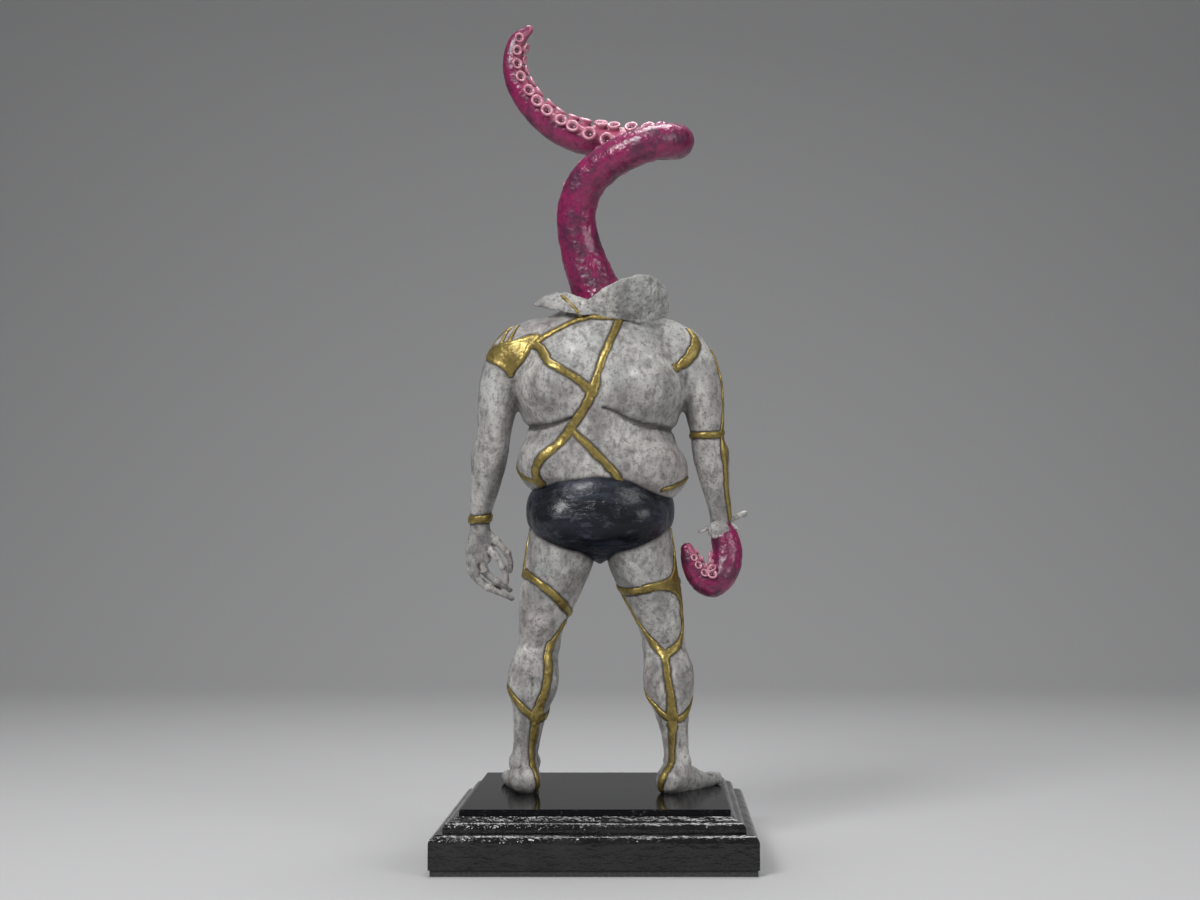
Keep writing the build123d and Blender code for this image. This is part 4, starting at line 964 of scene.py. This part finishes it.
def shard(casting, node, cuts):
    """Keeps the part of a casting on the inner side of each cut, a point and the way out of it."""
    bm = bmesh.new()
    bm.from_mesh(casting.data)
    for point, way in cuts:
        bmesh.ops.bisect_plane(
            bm,
            geom=bm.verts[:] + bm.edges[:] + bm.faces[:],
            plane_co=point,
            plane_no=way,
            clear_outer=True,
        )
        rim = [edge for edge in bm.edges if edge.is_boundary]
        for edge in rim:
            edge.smooth = False
        bmesh.ops.holes_fill(bm, edges=rim)
    for face in bm.faces:
        face.smooth = True
    bmesh.ops.triangulate(bm, faces=[face for face in bm.faces if len(face.verts) > 4])
    mesh = bpy.data.meshes.new(node)
    bm.to_mesh(mesh)
    bm.free()
    piece = bpy.data.objects.new(node + "_shard", mesh)
    scene.collection.objects.link(piece)
    dress(piece, stone, node)
    shards[node] = piece


def armpit_plane(side):
    """Gives the leaning plane between an arm and the torso, facing away from the torso."""
    high, low = Vector((side * 36 * mm, 0, level(0.930))), Vector((side * 45 * mm, 0, level(0.675)))
    along = (high - low).normalized()
    return high, Vector((side * along.z, 0, -side * along.x)).normalized()


def flipped(plane):
    return plane[0], -plane[1]


waist = (Vector((0, 0, level(0.738))), Vector((0, 0, 1)))
left_armpit, right_armpit = armpit_plane(-1), armpit_plane(1)
wrist_break = bands["left_wrist_band"][1]
elbow_break = bands["right_elbow_band"][1]
right_end = (arm_lines[1][-1], Vector((0, 0, -1)))
shard(torso, "upper_torso", (left_armpit, right_armpit, flipped(waist)))
shard(torso, "lower_torso", (left_armpit, right_armpit, waist))
shard(torso, "left_arm", (flipped(left_armpit), flipped(wrist_break)))
shard(torso, "left_hand", (flipped(left_armpit), wrist_break))
shard(torso, "right_upper_arm", (flipped(right_armpit), flipped(elbow_break)))
shard(torso, "right_forearm", (flipped(right_armpit), elbow_break, right_end))
sole = (Vector((0, 0, ground)), Vector((0, 0, -1)))
for side, names in leg_seams.items():
    thigh_break, shin_break = (bands[name][1] for name in names[1:])
    word = "left" if side < 0 else "right"
    shard(legs[side], word + "_thigh", (flipped(thigh_break),))
    shard(legs[side], word + "_calf", (thigh_break, flipped(shin_break)))
    shard(legs[side], word + "_foot", (shin_break, sole))
for casting in (torso, *legs.values()):
    bpy.data.objects.remove(casting)

# Trunks: short tight swimming trunks, cast with the hips and painted a wet, glossy blue black. They run
# down to a point between the legs. Their rows are like the torso's.
trunks_bm = bmesh.new()
trunks_half_width, trunks_half_depth = 37.5 * mm, 32.5 * mm
trunks_rows = (
    (0.462, 0.00, 0.02, 0.08),
    (0.469, 0.00, 0.08, 0.26),
    (0.480, 0.00, 0.24, 0.52),
    (0.497, 0.00, 0.54, 0.80),
    (0.516, 0.01, 0.82, 0.95),
    (0.540, 0.02, 0.97, 1.01),
    (0.566, 0.03, 1.01, 1.03),
    (0.592, 0.04, 1.00, 1.03),
    (0.612, 0.04, 0.94, 1.01),
    (0.628, 0.04, 0.84, 0.97),
    (0.638, 0.04, 0.70, 0.92),
    (0.644, 0.04, 0.52, 0.84),
)
skin(trunks_bm, limb_sections(trunks_rows, trunks_half_width, trunks_half_depth, 4), 56)
for side in (-1, 1):
    place = (side * 14.5 * mm, -9 * mm, level(0.552))
    lump(trunks_bm, place, (21 * mm, 22.5 * mm, 16.5 * mm), radians(-15 * side))
trunks = clay("trunks_gloss", trunks_bm, 0.8 * mm, 24)
trunks_dabs = (((0, -34 * mm, level(0.530)), (3, 10, 10), -0.7), ((0, 30 * mm, level(0.545)), (12, 10, 10), 2.0))
dab(trunks, trunks_dabs)
roughen(trunks, 7 * mm, 0.18 * mm)

wet = material("wet_trunks", IOR=1.36, Coat_Roughness=0.26)
# The lighter grey-blue streaks are painted highlights, where the wet gloss catches the light in brushed strokes.
drag, highlight_streaks = mask(wet, 60, 0.44, 0.68, 5, (0.6, 1, 1.6)), mask(wet, 46, 0.52, 0.70, 6, (0.5, 1, 2.2))
finish(
    wet,
    (0.0035, 0.0045, 0.008),
    (
        (drag, 1, (0.012, 0.0145, 0.026)),
        # Painted highlights: two layers of lighter grey-blue streaks.
        (highlight_streaks, 0.55, (0.055, 0.066, 0.092)),
        (mask(wet, 240, 0.56, 0.68, 4, (0.7, 1, 1.4)), 0.4, (0.080, 0.090, 0.115)),
    ),
    (drag, 0.32, 0.52),
    ((mask(wet, 130, 0.3, 0.7, 4, (0.6, 1, 1.3)), 0.7, 0.0009), (mask(wet, 420, 0.3, 0.7, 2), 0.2, 0.0002)),
)
# The upper part is wet and shines, and the underside stays dull.
place = add_node(wet, "ShaderNodeTexCoord").outputs["Object"]
height = add_node(wet, "ShaderNodeSeparateXYZ", Vector=place).outputs["Z"]
upper = add_node(wet, "ShaderNodeMapRange", Value=height, From_Min=level(0.485), From_Max=level(0.565))
upper = upper.outputs["Result"]
feed(wet, Coat_Weight=scaled(wet, upper, 0, 0.35), Specular_IOR_Level=scaled(wet, upper, 0.04, 0.5))
dress(trunks, wet, "trunks")


def paint_hem_and_shade(piece, tree, reach):
    """Draws a dark line on a shard where it meets another form: painted shade, and the trunks' hem."""
    points, _ = read_points(piece)
    store = piece.data.attributes["wash_and_shade"].data
    wash_and_shade = np.empty(len(points), np.float32)
    store.foreach_get("value", wash_and_shade)
    gap = np.array([tree.find_nearest(Vector(point), 3 * reach)[3] or 1 for point in points])
    store.foreach_set("value", np.maximum(wash_and_shade, 0.95 * np.exp(-((gap / reach) ** 2))).astype(np.float32))


# Painted shade, with the trunks' hem, in a thin dark line where the stone meets the trunks.
hem_and_shade_reach = 0.9 * mm
trunks_tree = tree_of(trunks)
for node in ("lower_torso", "left_thigh", "right_thigh"):
    paint_hem_and_shade(shards[node], trunks_tree, hem_and_shade_reach)

# Neck octopus arm: cast in clear-coated magenta resin. It stands in the collar, leans left, bends right
# and towards the viewer, loops behind itself and ends in a thin hooked tip.
neck_reach, neck_rise, neck_root = 40 * mm, 152 * mm, 13 * mm
# Rows of an octopus arm: to the right, forwards, up (or down, at the wrist) and radius.
neck_rows = (
    (0.04, 0.00, -0.07, 1.00),
    (0.03, 0.00, 0.00, 1.03),
    (-0.12, 0.00, 0.10, 0.92),
    (-0.26, -0.03, 0.21, 0.82),
    (-0.31, -0.10, 0.315, 0.78),
    (-0.20, -0.22, 0.405, 0.75),
    (0.05, -0.36, 0.465, 0.72),
    (0.36, -0.50, 0.505, 0.695),
    (0.68, -0.56, 0.53, 0.68),
    (0.92, -0.44, 0.545, 0.67),
    (0.98, -0.18, 0.556, 0.66),
    (0.82, 0.05, 0.566, 0.65),
    (0.48, 0.20, 0.575, 0.64),
    (0.10, 0.28, 0.583, 0.625),
    (-0.28, 0.30, 0.60, 0.60),
    (-0.62, 0.30, 0.64, 0.56),
    (-0.90, 0.28, 0.705, 0.51),
    (-1.10, 0.26, 0.785, 0.455),
    (-1.17, 0.24, 0.86, 0.40),
    (-1.11, 0.22, 0.932, 0.34),
    (-0.96, 0.21, 0.973, 0.19),
)
# Each guide row is a place along the rows and the way that the suckers face there.
neck_guide = (
    (0.0, -0.05, 1.0, 0.0),
    (3.0, -0.05, 1.0, 0.0),
    (5.5, -0.10, 1.0, 0.15),
    (8.5, -0.20, 1.0, 0.2),
    (10.0, -1.0, 0.1, 0.1),
    (11.5, -0.3, -1.0, 0.1),
    (13.0, 0.1, -1.0, 0.45),
    (14.5, 0.4, -0.8, 0.95),
    (16.5, 0.9, -0.75, 0.6),
    (20.0, 1.0, -0.65, 0.15),
)
wrist_reach, wrist_drop, wrist_root = 18 * mm, 34 * mm, 7.6 * mm
wrist_rows = (
    (0.00, 0.00, -0.06, 0.70),
    (0.00, 0.00, 0.00, 0.72),
    (0.08, -0.04, 0.20, 0.95),
    (0.16, -0.10, 0.42, 1.00),
    (0.12, -0.20, 0.64, 0.98),
    (-0.06, -0.30, 0.82, 0.94),
    (-0.32, -0.36, 0.90, 0.88),
    (-0.58, -0.38, 0.84, 0.80),
    (-0.80, -0.38, 0.68, 0.71),
    (-0.93, -0.38, 0.50, 0.60),
    (-0.99, -0.38, 0.38, 0.42),
)
wrist_guide = (
    (0.0, -0.9, 0.1, 0.0),
    (3.6, -0.8, 0.6, 0.2),
    (6.0, 0.1, -0.2, 1.0),
    (8.0, 0.6, -0.5, 0.8),
    (10.0, 0.7, -0.6, 0.5),
)
collar_height = level(0.995)
right_wrist = arm_lines[1][-1]

magenta = material(
    "magenta_resin",
    Coat_Weight=0.35,
    Coat_Roughness=0.22,
    Subsurface_Weight=0.06,
    Subsurface_Radius=(0.004, 0.001, 0.001),
)
mottle = mask(magenta, 95, 0.44, 0.60, 5)
finish(
    magenta,
    (0.235, 0.008, 0.078),
    (
        (mottle, 0.85, (0.062, 0.006, 0.036)),
        (mask(magenta, 330, 0.50, 0.66, 3), 0.5, (0.030, 0.004, 0.016)),
        (stored(magenta, "sucker_side"), 1, (0.46, 0.11, 0.19)),
    ),
    (mottle, 0.30, 0.48),
    ((mask(magenta, 210, 0.35, 0.65, 2), 0.5, 0.0007), (mask(magenta, 620, 0.35, 0.65, 3), 0.15, 0.0002)),
)

pale = material("pale_suckers", Coat_Weight=0.5, Coat_Roughness=0.1)
blush = mask(pale, 300, 0.42, 0.62, 3)
finish(
    pale,
    (0.55, 0.26, 0.33),
    # The middles of the cups are darkened: painted shade.
    ((blush, 1, (0.42, 0.13, 0.21)), (stored(pale, "hollow"), 1, (0.10, 0.012, 0.035))),
    (blush, 0.2, 0.35),
    ((mask(pale, 700, 0.35, 0.65, 2), 0.25, 0.0002),),
)


def guide_way(guide, place):
    """Gives the way that the suckers face at a place along an arm."""
    for start, end in zip(guide, guide[1:]):
        if place <= end[0]:
            break
    share = min(max((place - start[0]) / (end[0] - start[0]), 0), 1)
    return Vector(start[1:]).lerp(Vector(end[1:]), share)


# An arm's skin has a ridge on both sides of the suckers, a dip between them and swells, all in shares of its
# radius. Its pebbles are in mm where the arm is thickest, and shrink with it.
ridge_height, dip_depth, swell_height, pebble_height = 0.05, 0.03, 0.04, 0.22 * mm
pebble_size, swell_size = 2.2 * mm, 7 * mm
# How squarely the skin faces the way of the suckers: where their side starts, its fade and the ridge.
side_start, side_fade, ridge_at, ridge_width, side_tint = 0.62, 0.25, 0.70, 0.10, 0.8


def octopus_arm(node, points, radii, guide, voxel, root_pebble=1.0):
    """Skins an arm, raises the low ridge that carries its suckers, and pebbles the rest."""
    bm = bmesh.new()
    skin(bm, run_sections(points, radii), 44)
    lump(bm, points[-1], (radii[-1] * 1.02,) * 3)
    piece = clay(node + "_skin", bm, voxel, 4)
    line = np.array([tuple(point) for point in points])
    places, ways = read_points(piece)
    nearest = np.argmin(((places[:, None, :] - line[None, :, :]) ** 2).sum(2), axis=1)
    faces = np.array([tuple(guide_way(guide, i / arm_steps).normalized()) for i in range(len(points))])
    spread = np.array(radii)[nearest]
    share = spread / max(radii)
    toward = (ways * faces[nearest]).sum(1)
    side = np.clip((toward - side_start) / side_fade, 0, 1)
    ridge = np.exp(-(((toward - ridge_at) / ridge_width) ** 2))
    pebble = np.array([noise.noise(Vector(place) / pebble_size) for place in places])
    swell = np.array([noise.noise(Vector(place) / swell_size) for place in places])
    low = 1 + root_pebble * np.clip((share - 0.80) / 0.12, 0, 1)
    push = (ridge * ridge_height - side * dip_depth + swell * swell_height) * spread
    push += (1 - side) * pebble * low * pebble_height * share
    write_points(piece, places + ways * push[:, None])
    store = piece.data.attributes.new("sucker_side", "FLOAT", "POINT")
    store.data.foreach_set("value", (side * side_tint).astype(np.float32))
    dress(piece, magenta, node)
    return piece


# A sucker's half outline, in shares of its radius: across, up, from the stalk over the rim into the cup.
sucker_outline = (
    (0.70, -0.30), (0.72, 0.10), (0.84, 0.30), (1.00, 0.48), (1.02, 0.64), (0.90, 0.78),
    (0.72, 0.76), (0.56, 0.60), (0.48, 0.36), (0.30, 0.22), (0.03, 0.18),
)
sucker_wave, tilt_play, size_wave, size_play = 3 * mm, 3, 2 * mm, 0.14
size_here, size_overall = 0.65, 0.21
hollow_depth, hollow_edge, hollow_fade = 0.25, 0.62, 0.22


def add_sucker(bm, seat, ring):
    """Turns one sucker and sets it on its seat."""
    verts = [bm.verts.new((wide * ring, 0, high * ring)) for wide, high in sucker_outline]
    edges = [bm.edges.new(pair) for pair in zip(verts, verts[1:])]
    before = set(bm.verts) - set(verts)
    bmesh.ops.spin(
        bm, geom=verts + edges, cent=(0, 0, 0), axis=(0, 0, 1), angle=2 * pi, steps=20, use_merge=True
    )
    made = [vert for vert in bm.verts if vert not in before]
    bmesh.ops.remove_doubles(bm, verts=made, dist=0.01 * ring)
    made = [vert for vert in bm.verts if vert not in before]
    rim = [edge for edge in {e for v in made for e in v.link_edges} if edge.is_boundary]
    bmesh.ops.holes_fill(bm, edges=rim)
    bmesh.ops.transform(bm, matrix=seat, verts=made)


def sucker_rings(node, piece, points, radii, guide, begin, end, pitch, spread, ring_share):
    """Sets two staggered rows of suckers on an arm, each with a stalk, a rolled rim and a dished cup, with painted
    shade in the middle of each cup.
    """
    tree = tree_of(piece)
    bm = bmesh.new()
    hollows = []
    place, count = begin, 0
    while place < end:
        low = min(int(place * arm_steps), len(points) - 2)
        middle, ahead = points[low], (points[low + 1] - points[low]).normalized()
        radius = radii[low]
        facing = guide_way(guide, place)
        facing = (facing - ahead * facing.dot(ahead)).normalized()
        tilt = spread * (1 if count % 2 else -1) + tilt_play * noise.noise(middle / sucker_wave)
        facing.rotate(Matrix.Rotation(radians(tilt), 3, ahead))
        hit, out = tree.ray_cast(middle + facing * radius * 0.2, facing, radius * 3)[:2]
        size = size_here * radius + size_overall * max(radii)
        ring = ring_share * size * (1 + size_play * noise.noise(middle / size_wave))
        if hit:
            out = (out + facing).normalized()
            side = (ahead - out * ahead.dot(out)).normalized()
            add_sucker(bm, placed(hit, (side, out.cross(side), out), (1, 1, 1)), ring)
            hollows.append((hit + out * hollow_depth * ring, ring))
        next_point = points[min(low + arm_steps, len(points) - 1)]
        place += pitch * size / max((next_point - points[low]).length, 1e-6)
        count += 1
    bmesh.ops.recalc_face_normals(bm, faces=bm.faces)
    mesh = bpy.data.meshes.new(node)
    bm.to_mesh(mesh)
    bm.free()
    mesh.shade_smooth()
    group = bpy.data.objects.new(node + "_rings", mesh)
    scene.collection.objects.link(group)
    places, _ = read_points(group)
    # Painted shade: each cup is darker towards its middle.
    dark = np.zeros(len(places))
    for middle, ring in hollows:
        gap = np.linalg.norm(places - np.array(middle), axis=1) / ring
        dark = np.maximum(dark, np.clip((hollow_edge - gap) / hollow_fade, 0, 1))
    store = mesh.attributes.new("hollow", "FLOAT", "POINT")
    store.data.foreach_set("value", dark.astype(np.float32))
    dress(group, pale, node)


arm_steps = 6
neck_fine = eased(neck_rows, arm_steps)
neck_points = [
    Vector((x * neck_reach, y * neck_reach, collar_height + rise * neck_rise)) for x, y, rise, _ in neck_fine
]
neck_radii = [radius * neck_root for *_, radius in neck_fine]
neck_arm = octopus_arm("neck_octopus_arm", neck_points, neck_radii, neck_guide, 0.6 * mm)
sucker_rings("neck_suckers", neck_arm, neck_points, neck_radii, neck_guide, 3.0, 19.6, 0.57, 32, 0.46)

# Wrist octopus arm: a short fat arm that grows from the torn right wrist and hooks back up to the left. Its
# tip is blunt, and its suckers crowd on the inner side of the hook.
wrist_fine = eased(wrist_rows, arm_steps)
wrist_points = [
    right_wrist + Vector((x * wrist_reach, y * wrist_reach, -fall * wrist_drop)) for x, y, fall, _ in wrist_fine
]
wrist_radii = [radius * wrist_root for *_, radius in wrist_fine]
wrist_arm = octopus_arm("wrist_octopus_arm", wrist_points, wrist_radii, wrist_guide, 0.4 * mm, 0.0)
sucker_rings("wrist_suckers", wrist_arm, wrist_points, wrist_radii, wrist_guide, 3.4, 9.9, 0.50, 34, 0.42)


# Collar: the shell of the neck is torn open and folded outwards in four thick tongues. The right one is
# large and rounded, the left one a low blade, and the two in front are plain. Each row of a tongue is its
# place from the collar, half height, half thickness and lean.
collar_centre = Vector((0, 0, collar_height))


def tongue(node, rows):
    """Makes a folded tongue of shell from flat sections along its length."""
    bm = bmesh.new()
    fine = eased(rows, 5)
    points = [collar_centre + Vector((x, y, z)) * mm for x, y, z, *_ in fine]
    sections = []
    for i, (point, (*_, high, thick, lean)) in enumerate(zip(points, fine)):
        ahead = way_along(points, i)
        up = (Vector((0, 0, 1)) - ahead * ahead.z).normalized()
        up.rotate(Matrix.Rotation(radians(lean), 3, ahead))
        sections.append(placed(point, (up, ahead.cross(up), ahead), (high * mm, thick * mm, high * mm)))
    skin(bm, sections, 28)
    piece = clay(node + "_shell", bm, 0.5 * mm, 4)
    roughen(piece, 7 * mm, 0.7 * mm)
    roughen(piece, 2 * mm, 0.14 * mm)
    paint_wash_and_shade(piece, [])
    dress(piece, stone, node)
    return piece


tongue("collar_right_flap", (
    (-9.0, -16.5, -4.0, 1.2, 0.8, 20),
    (-4.0, -19.5, -2.6, 4.4, 1.2, 24),
    (3.5, -22.5, -1.2, 7.8, 1.5, 26),
    (11.5, -24.0, 0.4, 10.8, 1.7, 25),
    (19.5, -23.5, 1.4, 12.4, 1.8, 20),
    (26.5, -20.0, 0.4, 11.2, 1.8, 14),
    (31.5, -15.5, -2.2, 7.4, 1.5, 8),
    (34.0, -12.0, -4.6, 2.6, 0.9, 4),
))
left_flap = tongue("collar_left_flap", (
    (-0.6, -17.0, -5.0, 1.0, 0.7, 16),
    (-6.0, -19.5, -3.0, 4.2, 1.0, 20),
    (-13.0, -19.0, -0.8, 5.6, 1.1, 26),
    (-20.0, -16.0, 1.2, 6.0, 1.1, 32),
    (-27.0, -11.5, 2.2, 5.0, 1.0, 38),
    (-33.0, -7.0, 1.0, 1.6, 0.7, 42),
))
tongue("collar_front_left_flap", (
    (-20.0, 2.0, -3.0, 1.2, 0.8, -20),
    (-18.5, 9.0, 1.0, 5.0, 1.3, -25),
    (-13.0, 15.0, 2.5, 6.2, 1.5, -28),
    (-6.0, 18.0, 0.0, 4.6, 1.3, -30),
    (-2.0, 18.5, -4.0, 1.2, 0.8, -30),
))
tongue("collar_front_right_flap", (
    (0.5, 18.5, -4.0, 1.2, 0.8, -30),
    (6.0, 18.0, -0.5, 4.6, 1.3, -28),
    (13.0, 15.0, 1.5, 5.6, 1.5, -24),
    (19.5, 9.0, 0.5, 4.4, 1.3, -20),
    (22.5, 3.0, -4.0, 1.2, 0.8, -15),
))

# A thin gold seam crosses the left tongue and runs down to the seam on the shoulder.
flap_tree = tree_of(left_flap)
crossing_half_width, crossing_height = 1.0 * mm, 0.6 * mm
crossing = []
for x, z in ((-22.0, 7.0), (-19.5, 4.4), (-16.5, 1.4), (-13.0, -2.2), (-10.5, -5.2), (-9.0, -8.0)):
    start = collar_centre + Vector((x, -60, z)) * mm
    hits = [tree.ray_cast(start, (0, 1, 0)) for tree in (flap_tree, torso_tree)]
    hits = [hit for hit in hits if hit[0]]
    if hits:
        place, out = min(hits, key=lambda hit: hit[3])[:2]
        crossing.append((place, crossing_half_width, out))
crossing_bm = bmesh.new()
skin(crossing_bm, bead_sections(crossing, crossing_height), 14)
dress(clay("collar_seam_gold", crossing_bm, 0.3 * mm, 6), gold)

# Torn wrist: the shell ends in a rounded petal towards the viewer, two splinters to the right, a flat one
# to the left and a thin one down, all of them cast with the forearm's end.
petal_bm = bmesh.new()
lump(petal_bm, right_wrist + Vector((-1.5, -5.6, -3.2)) * mm, (5.4 * mm, 2.3 * mm, 5.2 * mm), 0.2)
lump(petal_bm, right_wrist + Vector((0.5, 6.2, -1.5)) * mm, (4.6 * mm, 1.5 * mm, 3.4 * mm))
for rows in (
    (
        (3.5, -2.5, 2.0, 2.2),
        (6.5, -3.0, 3.2, 1.7),
        (9.5, -3.2, 4.6, 1.5),
        (12.2, -3.2, 5.2, 1.6),
        (13.4, -3.2, 5.4, 0.7),
    ),
    ((4.5, -2.0, 0.5, 1.8), (7.0, -2.6, -1.6, 1.1), (9.2, -2.8, -3.8, 0.7)),
    ((-4.0, -2.0, -0.5, 1.8), (-7.0, -3.2, -2.0, 1.4), (-10.5, -4.0, -3.8, 1.1), (-12.0, -4.2, -4.4, 0.5)),
    ((-5.0, -2.5, -1.0, 1.3), (-6.2, -3.0, -4.0, 0.9), (-6.6, -3.0, -6.4, 0.6)),
    ((3.6, 5.0, 0.0, 1.8), (6.4, 8.0, -1.2, 1.2), (8.2, 9.8, -1.4, 0.6)),
):
    fine = eased(rows, 4)
    joints = [right_wrist + Vector((x, y, z)) * mm for x, y, z, _ in fine]
    skin(petal_bm, run_sections(joints, [row[3] * mm for row in fine], 0.75), 16)
petals = clay("wrist_petals_shell", petal_bm, 0.35 * mm, 4)
roughen(petals, 3 * mm, 0.3 * mm)
paint_wash_and_shade(petals, [])
dress(petals, stone, "wrist_petals")
